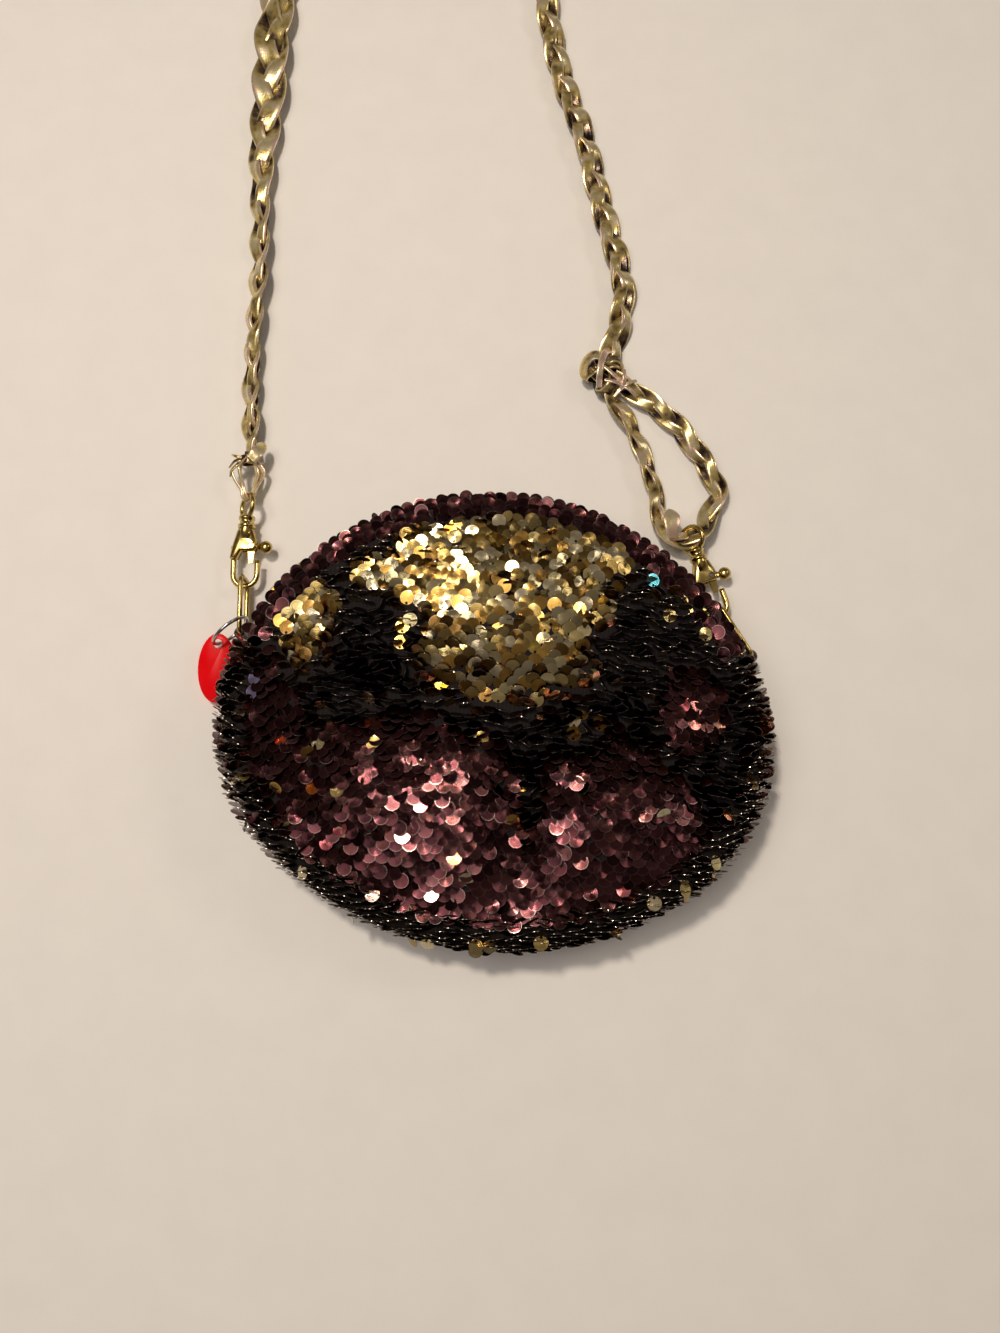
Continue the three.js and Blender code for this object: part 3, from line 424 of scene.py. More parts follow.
def strap_plait():
    return braid(strap_line, stand, half_wide * 0.5, STRIP_RISE, half_wide, STRIP_THICK, pitch)


# Three passes settle the plait on the floor, and two only lift what is too low.
for settling in (True, True, True, False, False):
    under = strap_plait()[0].reshape(3, len(y), -1, 3)[..., 2].min((0, 2))
    only_up = near(np.maximum(FLOOR_GAP - under, 0)).max(0)
    lift = np.where((y < BELOW_COIL) & settling, FLOOR_GAP - under, only_up)
    strap_line[:, 2] += near(lift).mean(0)
strap = strips("strap_braid", strap_plait(), ("strap_left", "strap_coil", "strap_right"))

# %% [markdown]
# ## Loop and knots
# On the right the strap is tied in a slip knot, and its loop runs through the clasp's eye. On the left the
# three strips go round the eye's bar, spread, and are bound by their own tail. The tails are flat flaps of
# the same strip with rounded ends, and a few narrow cut ends stick out.

# %% Loop through the right eye
EYE_UP, THIN = 29.0, 3.5
THROUGH = (
    (-9, EYE_UP + 5.6, -1.4), (-5, EYE_UP + 0.9, -0.4), (0, EYE_UP, 0),
    (5, EYE_UP + 1.4, -0.4), (9, EYE_UP + 6.2, -1.6),
)
TO_EYE = (33, 132.4), (38.4, 125.5), (44.4, 114.6), (49, 104.5), (53, 94.5)
FROM_EYE = (77.2, 99), (72, 108.4), (65.4, 117.4), (58.4, 124.8), (49, 131.8), (40.5, 137)
through = on_clasp(RIGHT_CLASP, THROUGH)
loop_points = [(30, 139, 4.4), *laid(TO_EYE, THIN), *through, *laid(FROM_EYE, THIN), (32, 141, 4.6)]
loop_line = smooth_line(loop_points, 1.2)
loop = strips("strap_loop_braid", braid(loop_line, 0.5, 2.2, 1.0, 4.3, 1.5, PLAIT), ("strap_loop",))

# %% Knots
# The number after each part's thickness is its painted light: above 0 a painted highlight on a part that lies
# on top, below 0 painted shade on one tucked under.
FINE = 0.5


def flats(line, normal):
    return np.broadcast_to(np.array(normal, float), line.shape)


def rounded(line, first):
    """Shares of a flap's width along its line, which shrink to a round end."""
    return np.sqrt(np.clip(1 - np.linspace(first, 1, len(line)) ** 4, 0.02, 1))


EYE_TURN, EYE_TOP = math.radians(35), 33.6
bar = np.array([math.sin(EYE_TURN), 0, math.cos(EYE_TURN)])
off_bar = np.array([math.cos(EYE_TURN), 0, -math.sin(EYE_TURN)])
parts = []
for place, spread in ((-1.7, 5.6), (0.0, 3.4), (1.7, 4.9)):
    limb = (
        (0.3, 1.5, 49.6), (0.8, 2.0, 47.6), (1.5, spread, 43.4),
        (1.4, spread * 0.9, 40.4), (1.0, 2.1, 35.4), (1.0, 1.7, 33.2),
    )
    down = [bar * place * k + off_bar * w + [0, up, 0] for k, w, up in limb]
    back_up = [bar * place * k - off_bar * w + [0, up, 0] for k, w, up in limb[::-1]]
    bent = smooth_line(on_clasp(LEFT_CLASP, [*down, bar * place + [0, EYE_TOP - 2.0, 0], *back_up]), 0.6)
    parts.append((bent, unit(np.cross(np.gradient(bent, axis=0), bar)) + 0.25 * UP, 2.3, 1.0, 0.05))
turns = np.linspace(0, 2.3 * 2 * math.pi, 64)
coil = np.stack([3.1 * np.cos(turns), 46.3 + 3.0 * turns / turns[-1], 2.8 * np.sin(turns)], -1)
collar = on_clasp(LEFT_CLASP, coil)
middle = on_clasp(LEFT_CLASP, [(0, 47.8, 0)])[0]
parts.append((collar, unit((collar - middle) * [1, 0.1, 1]), 2.2, 1.1, -0.12))
LEFT_FLAP = (1.6, 46.6, 3.6), (3.4, 48.4, 4.2), (4.8, 50.8, 3.4), (5.2, 53.4, 1.6), (5.0, 54.6, 0.6)
flap = smooth_line(on_clasp(LEFT_CLASP, LEFT_FLAP), FINE)
parts.append((flap, flats(flap, (0.45, 0.2, 1.0)), 4.6 * rounded(flap, -0.55), 0.8, 0.04))
CUT_ENDS = (
    [(-2.4, 46.8, 3.3), (-4.6, 46.2, 3.2), (-7.2, 44.2, 1.6)],
    [(-2.2, 47.4, 3.0), (-4.8, 48.4, 2.8), (-6.4, 49.4, 1.4)],
    [(-3.2, 45.8, 2.6), (-6.2, 42.6, 2.2), (-6.8, 40.6, 1.2)],
)
for points in CUT_ENDS:
    fray = smooth_line(on_clasp(LEFT_CLASP, points), FINE)
    parts.append((fray, flats(fray, (-0.5, 0.0, 1.0)), np.linspace(1.5, 0.7, len(fray)), 0.6, 0.1))
left_knot = strips("left_knot_tied", many(parts), ("left_knot",))

t = np.linspace(0, 2 * math.pi, 120, endpoint=False)
KNOT = np.array([29.0, 142.0, 5.9])
trefoil_x, trefoil_y = (np.sin(t) + 2 * np.sin(2 * t)) * 2.3, (np.cos(t) - 2 * np.cos(2 * t)) * 2.6
ball = KNOT + np.stack([trefoil_x, trefoil_y, -np.sin(3 * t) * 2.9], -1)
parts = [(ball, unit(ball - KNOT + np.array([0, 0, 3.0])), 4.6, 1.9, -0.2, True)]
ring = KNOT + np.stack([6.0 * np.cos(t) - 1.4, 2.6 * np.cos(t) + 1.0, 4.4 * np.sin(t)], -1)
parts.append((ring, unit(ring - KNOT), 3.6, 1.5, -0.12, True))
UPRIGHT = [0.6, 9.6, 1.0], [-1.2, 6.6, 4.6], [-2.4, 1.4, 6.0], [-2.6, -3.4, 5.2], [-2.0, -6.6, 2.0]
upright = smooth_line([KNOT + p for p in UPRIGHT], 0.6)
parts.append((upright, flats(upright, (0.2, 0, 1.0)), 2.6, 1.2, 0.28))
RIGHT_FLAP = [-3.4, 5.6, 4.6], [-6.2, 5.4, 4.4], [-8.4, 2.6, 3.2], [-8.8, -1.0, 1.6], [-7.4, -3.4, 0.2]
flap = smooth_line([KNOT + p for p in RIGHT_FLAP], FINE)
parts.append((flap, unit(flap - KNOT + [0, 0, 5.0]), 5.2 * rounded(flap, -0.7), 0.9, 0.04))
STAR = KNOT + [7.4, -5.6, 3.0]
STAR_ENDS = (
    [-8.6, 6.2, 2.2], [-7.8, 1.2, 1.2], [4.6, 3.0, -0.8],
    [-3.4, -4.6, -0.6], [5.2, -3.0, -1.8], [-0.6, 6.0, 1.4],
)
for far in np.array(STAR_ENDS):
    strand = smooth_line([STAR - far * 0.12, STAR + far * 0.45 + [0, 0, 0.9], STAR + far], FINE)
    parts.append((strand, flats(strand, (0.1, 0.2, 1.0)), np.linspace(1.9, 1.3, len(strand)), 0.9, 0.25))
right_knot = strips("right_knot_tied", many(parts), ("right_knot",))

# %% Loop's tail and coil's tie
TAIL = (-7.2, 31.0, 2.6), (-6.4, 34.6, 4.0), (-5.6, 38.4, 4.2), (-5.4, 42.0, 3.4)
slip = smooth_line(on_clasp(RIGHT_CLASP, TAIL), FINE)
slip_wide = 6.6 * np.interp(np.linspace(0, 1, len(slip)), [0, 0.3, 0.7, 0.93, 1], [0.55, 0.85, 1, 0.6, 0.1])
loop_tail = strips("loop_tail", many([(slip, flats(slip, (0.1, 0.15, 1.0)), slip_wide, 0.9, 0.13)]))

TIE_R, MEAN = STRAP / 2 + CLEAR + 0.3 + 0.6, (COIL_OUT + COIL_IN) / 2
t = np.linspace(0, 2 * math.pi, 72, endpoint=False)
layer = np.where(np.sin(t) > 0, LAYER2, LAYER1)
round_tie = [np.full_like(t, COIL_X), COIL_Y + MEAN + TIE_R * np.cos(t), layer + TIE_R * np.sin(t)]
band = np.stack(round_tie, -1)
tie_middle = np.array([COIL_X, COIL_Y + MEAN, (LAYER1 + LAYER2) / 2])
tie = strips("coil_tie_band", many([(band, unit(band - tie_middle), 5.0, 1.0, 0.0, True)]), ("coil_tie",))

# %% [markdown]
# ## The bag's shape
# The outline is four arcs that run smoothly into each other. The side band bulges out to it between two
# seams, and the front is a low dome. A filled bag that has been lying about isn't an even dome: it slumps
# into two lobes at its lower edge and a flatter one above, with a valley between the two, a crease across
# the middle and a groove at the right. It could be sculpted, but the CAD's own formula keeps both alike.

# %% Outline and slump
HALF_W, HALF_H, ZIP_R, ZIP_SPAN = 97.0, 81.0, 100.0, 66.0
WIDEST = math.sin(math.radians(ZIP_SPAN))
SIDE_R = (HALF_W - ZIP_R * WIDEST) / (1 - WIDEST)
ZIP_Y = HALF_H - ZIP_R
SIDE_X = (ZIP_R - SIDE_R) * WIDEST
SIDE_Y = ZIP_Y + (ZIP_R - SIDE_R) * math.cos(math.radians(ZIP_SPAN))
REACH = HALF_H + SIDE_Y
LOW_R = (SIDE_X**2 + REACH**2 - SIDE_R**2) / (2 * (REACH - SIDE_R))
LOW_Y = LOW_R - HALF_H
LOW_SPAN = math.degrees(math.atan2(SIDE_X, LOW_Y - SIDE_Y))
BULGE, HALF_BAND, MID_Z, CROWN = 11.5, 17.0, 19.0, 13.0
BULGE_R = (HALF_BAND**2 + BULGE**2) / (2 * BULGE)
SEAM_TURN = math.degrees(math.asin(HALF_BAND / BULGE_R))
SEAM_LEFT, SEAM_RIGHT, ZIP_WINDOW = -67.0, 60.0, 17.2
DEEP = 1.1  # cloth below the CAD surface, the top of sequins that lie flat
# Each lobe: height, middle x and y, half widths. Each fold: depth, its two ends, half width.
LOBES = (3.6, -34, -38, 30, 20), (3.6, 45, -32, 24, 22), (2.0, 0, 38, 44, 22)
FOLDS = (6.0, 10, -22, 13, -70, 9), (3.4, 58, 28, 75, 4, 6), (3.6, -48, 6, 66, -4, 10)


def outline(bearing):
    t = (np.asarray(bearing, float) + 180) % 360 - 180
    side = np.where(t < 0, -1.0, 1.0)
    way = np.stack([np.sin(np.radians(t)), np.cos(np.radians(t))], -1)
    top, low = np.abs(t) <= ZIP_SPAN, np.abs(t) >= 180 - LOW_SPAN
    middle_x = np.where(top | low, 0, side * SIDE_X)
    middle_y = np.where(top, ZIP_Y, np.where(low, LOW_Y, SIDE_Y))
    radius = np.where(top, ZIP_R, np.where(low, LOW_R, SIDE_R))
    return np.stack([middle_x, middle_y], -1) + way * radius[..., None], way


def side_band(bearing, turn, depth):
    """Points and outward normals on the bulged side, at bearings from +Y and degrees up from its middle."""
    p, way = outline(bearing)
    a = np.radians(turn)
    out = (BULGE_R - depth) * np.cos(a) - BULGE_R
    height = MID_Z + (BULGE_R - depth) * np.sin(a)
    points = np.concatenate([p + way * out[..., None], height[..., None]], -1)
    return points, np.concatenate([way * np.cos(a)[..., None], np.sin(a)[..., None]], -1)


rim, rim_way = outline(np.linspace(-180, 180, 721))
rim = rim - rim_way * (BULGE + 0.3)
SEAM = rim[:-1:8]
rim_angle, rim_reach = np.degrees(np.arctan2(rim[:, 0], rim[:, 1])), np.hypot(rim[:, 0], rim[:, 1])
order = np.argsort(rim_angle)
rim_angle, rim_reach = rim_angle[order], rim_reach[order]


def share(x, y):
    """0 at the middle of a panel and 1 at its seam."""
    return np.hypot(x, y) / np.interp(np.degrees(np.arctan2(x, y)), rim_angle, rim_reach, period=360)


def hill(x, y, cx, cy, rx, ry):
    return np.exp(-(((x - cx) / rx) ** 2) - ((y - cy) / ry) ** 2)


def from_line(x, y, ax, ay, bx, by):
    """Distance from the line between two points."""
    ux, uy = bx - ax, by - ay
    s = np.clip(((x - ax) * ux + (y - ay) * uy) / (ux * ux + uy * uy), 0, 1)
    return np.hypot(x - ax - s * ux, y - ay - s * uy)


def front_height(x, y):
    q = np.clip(share(x, y), 0, 1)
    lobes = sum(height * hill(x, y, *where) for height, *where in LOBES)
    dips = sum(deep * np.exp(-((from_line(x, y, *ends) / wide) ** 2)) for deep, *ends, wide in FOLDS)
    return MID_Z + HALF_BAND + 0.1 + CROWN * (1 - q * q) + (lobes - dips) * (1 - q**4)


print("bag:", 2 * HALF_W, "x", 2 * HALF_H, "mm")

# %% [markdown]
# ## Cloth under the sequins
# The sequins are sewn to a thin dark knit, which follows the slump. It shows only between sequins that
# stand on edge, so it is plain. The lining inside is satin, which has a soft sheen and fine slubs.

# %% Cloth and lining materials
STITCH = 0.7
BANDS = 6.28  # draws a wave's bands two to three times too wide, so that they show
SLUBS = (90, 1400, 90)  # to the metre: slubs 11 mm long on threads 0.7 mm apart
knit, tree, shader, place = surface("dark_polyester_knit", Roughness=0.9, IOR=1.45)
bands = {"bands_direction": "X"}
ribs = put(tree, "TexWave", bands, Vector=place, Scale=1000 / STITCH / BANDS, Distortion=2.0).outputs["Fac"]
tint = put(tree, "ValToRGB", {"stops": ((0.2, "#0A0607"), (0.8, "#160C0F"))}, Fac=ribs).outputs["Color"]
bump = put(tree, "Bump", Strength=0.4, Distance=0.0002, Height=ribs).outputs["Normal"]
join(tree, shader, Base_Color=tint, Normal=bump)

satin, tree, shader, place = surface("plum_satin_lining", Roughness=0.42, IOR=1.5, Sheen_Weight=0.3)
threads = put(tree, "Mapping", Vector=place, Scale=SLUBS).outputs["Vector"]
slubs = put(tree, "TexNoise", Vector=threads, Scale=1.0, Detail=2.0).outputs["Fac"]
tint = put(tree, "ValToRGB", {"stops": ((0.3, "#2A181E"), (0.7, "#3B2229"))}, Fac=slubs).outputs["Color"]
join(tree, shader, Base_Color=tint)

# %% Cloth pieces
CLOTH, LINING = 0.5, 0.4  # thickness of the two walls
LINING_DEEP = 2.1
SEWN = 0.25  # half the gap at a sewn end, in degrees


def cloth_piece(name, rows, wrap, material, slot, thick, *replaced):
    """A thin wall over a grid of points, given its thickness by a Solidify modifier that is then applied."""
    rows = np.asarray(rows)
    faces = grid_faces(rows.shape[0], rows.shape[1], wrap)
    piece = finish_piece(name, rows.reshape(-1, 3), faces, material, "bag")
    select_only(piece)
    mode("EDIT")
    bpy.ops.mesh.select_all(action="SELECT")
    bpy.ops.mesh.remove_doubles(threshold=1e-6)
    bpy.ops.mesh.normals_make_consistent(inside=False)
    mode("OBJECT")
    wall = piece.modifiers.new("wall", "SOLIDIFY")
    wall.thickness, wall.offset = thick * MM, -1.0
    bpy.ops.object.modifier_apply(modifier="wall")
    bpy.ops.object.shade_smooth_by_angle(angle=math.radians(50))
    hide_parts(*replaced)
    print(name, len(piece.data.polygons), "faces")


def front_rows(depth):
    rows = []
    for q in np.linspace(0, 1, 25):
        x, y = SEAM[:, 0] * q, SEAM[:, 1] * q
        rows.append(np.stack([x, y, front_height(x, y) - depth], -1))
    return rows


def flat_rows(height, far, count):
    return [np.column_stack([SEAM * q, np.full(len(SEAM), height)]) for q in np.linspace(0, far, count)]


def band_rows(first, last, low, high, depth, count):
    at = np.linspace(first, last, int(abs(last - first) / 2.5) + 2)
    return [side_band(at, np.full_like(at, t), depth)[0] for t in np.linspace(low, high, count)]


below = band_rows(SEAM_RIGHT + SEWN, 360 + SEAM_LEFT - SEWN, -SEAM_TURN, SEAM_TURN, DEEP, 19)
zip_ends = SEAM_LEFT + SEWN, SEAM_RIGHT - SEWN
front_edge = band_rows(*zip_ends, ZIP_WINDOW, SEAM_TURN, DEEP, 9)
back_edge = band_rows(*zip_ends, -SEAM_TURN, -ZIP_WINDOW, DEEP, 9)
cloth_piece("front_cloth", front_rows(DEEP), True, knit, "sequin_cloth", CLOTH, "front_panel")
cloth_piece("back_cloth", flat_rows(1.05, 1, 13), True, knit, "sequin_cloth", -CLOTH, "back_panel")
cloth_piece("side_cloth", below, False, knit, "sequin_cloth", CLOTH, "lower_gusset")
cloth_piece("zip_edge_cloth_front", front_edge, False, knit, "sequin_cloth", CLOTH, "zip_strip_front")
cloth_piece("zip_edge_cloth_back", back_edge, False, knit, "sequin_cloth", CLOTH, "zip_strip_back")

front_inside, back_inside = front_rows(LINING_DEEP + 0.3), flat_rows(LINING_DEEP, 0.97, 9)
cloth_piece("front_lining", front_inside, True, satin, "satin_lining", LINING, "lining_front")
cloth_piece("back_lining", back_inside, True, satin, "satin_lining", -LINING, "lining_back")
round_bag = np.linspace(-180, 180, 121)
by_zip = (round_bag > SEAM_LEFT - 1) & (round_bag < SEAM_RIGHT + 3)
lining_edge = np.where(by_zip, 40.0, 1.0)  # leaves room for the zip
for side, name in ((1, "front_side_lining"), (-1, "back_side_lining")):
    turns = [side * (SEAM_TURN + (lining_edge - SEAM_TURN) * s) for s in np.linspace(0, 1, 7)]
    wall_rows = [side_band(round_bag, turn, LINING_DEEP)[0] for turn in turns]
    cloth_piece(name, wall_rows, False, satin, "satin_lining", LINING)

# %% [markdown]
# ## One sequin
# A sequin is a disc punched from metallised film, 5 mm across, with its hole close to one edge so that it
# hangs and flips. One side is burgundy and the other gold. It starts as a flat cylinder with fans of
# triangles for ends, and in edit mode the middle of each end is pushed down. The dished faces make each
# disc catch the light in its own way. It has only 48 faces, because there are thousands.

# %% Sequin die
SEQUIN_R, FILM, DISH, HOLE_AT = 2.5, 0.14, 0.15, 1.85
bpy.ops.object.select_all(action="DESELECT")
bpy.ops.mesh.primitive_cylinder_add(
    vertices=16, radius=SEQUIN_R * MM, depth=FILM * MM, end_fill_type="TRIFAN"
)
die = bpy.context.object
mode("EDIT")
bpy.ops.mesh.select_all(action="DESELECT")
mode("OBJECT")
for v in die.data.vertices:
    v.select = v.co.xy.length < 0.1 * MM
mode("EDIT")
bpy.ops.transform.translate(value=(0, 0, -DISH * MM))
mode("OBJECT")
die_points = np.array([v.co for v in die.data.vertices]) / MM
die_faces = [list(p.vertices) for p in die.data.polygons]
die_kind = np.array([0 if p.normal.z > 0.5 else 1 if p.normal.z < -0.5 else 2 for p in die.data.polygons])
bpy.data.objects.remove(die)
print("faces of one sequin:", len(die_faces))

# %% [markdown]
# ## Sequin film
# The film is polyester with a vapour of aluminium and a coloured lacquer on each side. It is a mirror with
# a tint, so it is metallic, with a little roughness from handling. The colour comes with each disc, as a
# face attribute; for a flash disc it is the painted highlight of a glint. Its own UV map draws the dark hole
# at the sewn end, a painted highlight round the edge and faint embossed rings.

# %% Sequin material
HOLE_R = 0.45 / (2 * SEQUIN_R)  # as a share of the disc
RING_RATE = 58.0  # radians across the disc: rings about 0.5 mm apart
SCUFF = 3.0
HOLE_EDGE = {"From_Min": HOLE_R * 0.8, "From_Max": HOLE_R * 1.3}
# Where the painted rim highlight lies, as shares of the disc, and how strong it is.
RIM_HIGHLIGHT_BAND = {"From_Min": 0.462, "From_Max": 0.498, "To_Max": 0.28}
HANDLED = {"From_Min": 0.3, "From_Max": 0.7, "To_Min": 0.1, "To_Max": 0.28}
film, tree, shader, place = surface("metallised_polyester_film", Metallic=1.0)
colour = put(tree, "Attribute", {"attribute_name": "film"}).outputs["Color"]
disc = put(tree, "UVMap", {"uv_map": "disc"}).outputs["UV"]
apart, soft, mix = {"operation": "DISTANCE"}, {"interpolation_type": "SMOOTHSTEP"}, {"data_type": "RGBA"}
hole_at = (0.5, 0.5 - HOLE_AT / SEQUIN_R / 2, 0.0)
hole = put(tree, "VectorMath", apart, _0=disc, _1=hole_at).outputs["Value"]
open_film = put(tree, "MapRange", soft, Value=hole, **HOLE_EDGE).outputs["Result"]
middle = put(tree, "VectorMath", apart, _0=disc, _1=(0.5, 0.5, 0.0)).outputs["Value"]
# Painted highlight: a pale ring round each disc's edge, as if its rim caught the light.
painted_rim_highlight = put(tree, "MapRange", soft, Value=middle, **RIM_HIGHLIGHT_BAND).outputs["Result"]
with_painted_rim = put(tree, "Mix", mix, _0=painted_rim_highlight, _6=colour, _7=linear("#E8D8CC")).outputs[2]
tint = put(tree, "Mix", mix, _0=open_film, _6=linear("#0C0607"), _7=with_painted_rim).outputs[2]
outward = put(tree, "Math", {"operation": "MULTIPLY"}, _0=middle, _1=RING_RATE).outputs[0]
rings = put(tree, "Math", {"operation": "SINE"}, _0=outward).outputs[0]
scuffs = put(tree, "TexNoise", Vector=place, Scale=1000 / SCUFF, Detail=2.0).outputs["Fac"]
rough = put(tree, "MapRange", Value=scuffs, **HANDLED).outputs["Result"]
bump = put(tree, "Bump", Strength=0.12, Distance=0.0001, Height=rings).outputs["Normal"]
join(tree, shader, Base_Color=tint, Roughness=rough, Normal=bump)

# %% [markdown]
# ## Sewing
# Each sequin hangs from its hole. How far it is flipped decides what shows: at 0 degrees it lies with
# burgundy out, at 180 with gold out, and near 90 it stands on edge and shows nothing but a dark line.
# Brushing a hand over the cloth leaves fields of each, so the flip comes from the place, and every disc
# gets a random lean of its own.

# %% Sewing function
rng = np.random.default_rng(7)
GOLD_HEX = "#D2BE84", "#E2D3A2", "#BDA468", "#97804A", "#C49C52", "#EADDB8", "#75592E"
RED_HEX = "#4C2A2E", "#543236", "#412428", "#5B3B3D", "#382024", "#503030"
GOLDS = np.array([linear(h)[:3] for h in GOLD_HEX])
REDS = np.array([linear(h)[:3] for h in RED_HEX])
EDGE = np.array(linear("#2E2220")[:3])
KEY = np.array([-260.0, 260.0, 1050.0])  # where the small lamp stands
RED_SIDE, GOLD_SIDE = 0, 180
BENT, BENT_LEAN = 0.08, 2.6  # the share of bent discs, and how much more they lean
GOLD_OUT, GOLD_LEAN = 140, 1.5  # discs flipped past this show gold, and they lean more
SWING, EDGE_SWING, ROLL = 7, 9, 4  # degrees of random swing, more of it on edge, and of steady roll
FLASH_LEAN, FLASH_SWING = 1.0, 3.0
THREAD_LIFT, FLOOR_LIFT = 0.25, 0.02  # height over the seat, and over the floor
print("lacquers:", len(GOLDS), "golds,", len(REDS), "reds")


def sew(name, seat, normal, down, flip, lean, flashes=()):
    """Sews one sequin at each seat, flipped by flip degrees, with a random lean of about lean degrees.

    A disc on edge leans and swings more. A flash is a place, a colour and the side it shows: the disc there
    throws the lamp's light at the camera, and the colour, a painted highlight, replaces its lacquer. Discs
    that would reach under the floor are lifted.
    """
    n = len(seat)
    normal = unit(normal)
    row = unit(np.cross(down, normal))
    down = np.cross(normal, row)
    edge_on = np.abs(np.sin(np.radians(flip)))
    bent = np.where(rng.random(n) < BENT, BENT_LEAN, 1.0)
    lean = lean * bent * (1 + edge_on) * np.where(flip > GOLD_OUT, GOLD_LEAN, 1.0)
    swing = SWING + EDGE_SWING * edge_on**2
    chosen = [int(np.argmin(np.linalg.norm(seat[:, :2] - place, axis=1))) for *place, _, _ in flashes]
    for i, (_, _, _, side) in zip(chosen, flashes):
        half = unit(unit(KEY - seat[i]) + unit(np.array(EYE) / MM - seat[i]))
        flip[i] = math.degrees(math.atan2(-down[i] @ half, normal[i] @ half)) + side
        lean[i], swing[i] = FLASH_LEAN, FLASH_SWING
    yaw = np.radians(rng.normal(0, 1, n) * swing)[:, None]
    d = down * np.cos(yaw) + row * np.sin(yaw)
    r = row * np.cos(yaw) - down * np.sin(yaw)
    tilt = np.radians(flip + rng.normal(0, 1, n) * lean)[:, None]
    reach = d * np.cos(tilt) + normal * np.sin(tilt)
    face = normal * np.cos(tilt) - d * np.sin(tilt)
    roll = np.radians(ROLL + rng.normal(0, 1, n) * lean * 0.8)[:, None]
    wide, face = r * np.cos(roll) - face * np.sin(roll), face * np.cos(roll) + r * np.sin(roll)
    p = die_points
    across = (seat + normal * THREAD_LIFT)[:, None] + wide[:, None] * p[None, :, :1]
    verts = across + reach[:, None] * (p[None, :, 1:2] + HOLE_AT) + face[:, None] * p[None, :, 2:]
    verts[..., 2] += np.maximum(FLOOR_LIFT - verts[..., 2].min(1), 0)[:, None]
    faces = [[i * len(p) + k for k in f] for i in range(n) for f in die_faces]
    piece = finish_piece(name, verts.reshape(-1, 3), faces, film, "bag", 40)
    gold, red = GOLDS[rng.integers(0, len(GOLDS), n)], REDS[rng.integers(0, len(REDS), n)]
    shade = rng.uniform(0.8, 1.1, (n, 1))
    gold_shade = np.clip(1.0 + 2.2 * (shade - 0.97), 0.55, 1.15)
    tints = np.stack([red * shade, gold * gold_shade, np.broadcast_to(EDGE, (n, 3))], 1)[:, die_kind]
    # Painted highlight: a flash disc's film takes the colour of its glint in place of its lacquer.
    for i, (_, _, hexa, _) in zip(chosen, flashes):
        tints[i] = linear(hexa)[:3]
    colours = np.concatenate([tints, np.ones((*tints.shape[:2], 1))], -1)
    layer = piece.data.attributes.new("film", "FLOAT_COLOR", "FACE")
    layer.data.foreach_set("color", colours.astype(np.float32).ravel())
    spots = p[:, :2] / (2 * SEQUIN_R) + 0.5
    corner = np.concatenate([spots[f] for f in die_faces])
    uv_map = piece.data.uv_layers.new(name="disc")
    uv_map.data.foreach_set("uv", np.tile(corner.ravel(), n).astype(np.float32))
    print(name, n, "sequins")


def cloud(points, size, seed):
    """Smooth noise from -1 to 1 over the points."""
    return np.array([noise.noise(Vector((p[0] / size + seed, p[1] / size, p[2] / size))) for p in points])


# %% [markdown]
# ## The front
# Three fields, given by their corners, are brushed to gold. In five round fields, on the lobes and at the
# sides, the discs lie with burgundy out, and everywhere else they stand up. A few discs have gone the other
# way. Last come the flashes: single discs, listed one by one, which are turned to mirror the lamp and whose
# colour is a painted highlight.

# %% Fields of the front
GOLD_FIELDS = (
    [
        (-57, 41), (-40, 55), (-22, 64), (2, 70), (24, 69), (46, 62), (45, 56), (36, 41), (30, 26),
        (31, 10), (15, 3), (-5, 1), (-22, 2), (-29, 15), (-23, 30), (-37, 35), (-54, 37),
    ],
    [(-78, 30), (-66, 38), (-55, 34), (-57, 18), (-67, 0), (-73, 8)],
    [(50, 58), (62, 54), (74, 43), (70, 37), (60, 43), (51, 50)],
)
# Middle x and y and half widths of each field of burgundy
RED_FIELDS = (-28, -33, 48, 34), (45, -34, 31, 33), (67, 9, 13, 17), (-74, -4, 12, 26), (12, -58, 36, 17)
LYING, STANDING, FLIPPED = 15, 66, 166  # degrees of flip
STRAY_BELOW, STRAY = 0.012, 164  # a lower random draw turns a disc to gold, at this flip
STUCK_ABOVE, STUCK = 0.93, 75  # a higher one leaves a gold disc stuck on edge


def inside(x, y, corners):
    """Distance into a field, in millimetres: below 0 is outside it."""
    c = np.array(corners, float)
    far, odd = np.full(x.shape, 1e9), np.zeros(x.shape, bool)
    for (ax, ay), (bx, by) in zip(c, np.roll(c, -1, 0)):
        far = np.minimum(far, from_line(x, y, ax, ay, bx, by))
        rise = 1e-9 if by == ay else by - ay
        odd ^= ((ay > y) != (by > y)) & (x < ax + (y - ay) * (bx - ax) / rise)
    return np.where(odd, far, -far)


def ease_in(v):
    v = np.clip(v, 0, 1)
    return v * v * (3 - 2 * v)


def front_flip(x, y, z):
    at = np.stack([x, y, z], -1)
    gold = np.max([inside(x, y, f) for f in GOLD_FIELDS], 0) + 5 * cloud(at, 9, 3.1)
    into = [1 - np.hypot((x - cx) / rx, (y - cy) / ry) for cx, cy, rx, ry in RED_FIELDS]
    lobe = np.max(into, 0) + 0.14 * cloud(at, 12, 8.7)
    stand = STANDING + 20 * cloud(at, 13, 1.3)
    flip = stand + (LYING - stand) * ease_in((lobe + 0.02) / 0.2)
    flip = flip + (FLIPPED - flip) * ease_in((gold + 2) / 4)
    odd = rng.random(len(x))
    flip = np.where((odd < STRAY_BELOW) & (flip < 90), STRAY, flip)
    return np.where((odd > STUCK_ABOVE) & (flip > GOLD_OUT), STUCK, flip)


print("fields:", len(GOLD_FIELDS), "gold,", len(RED_FIELDS), "burgundy")

# %% Front sequins
ROW, PITCH = 2.5, 4.3
JITTER = 0.22
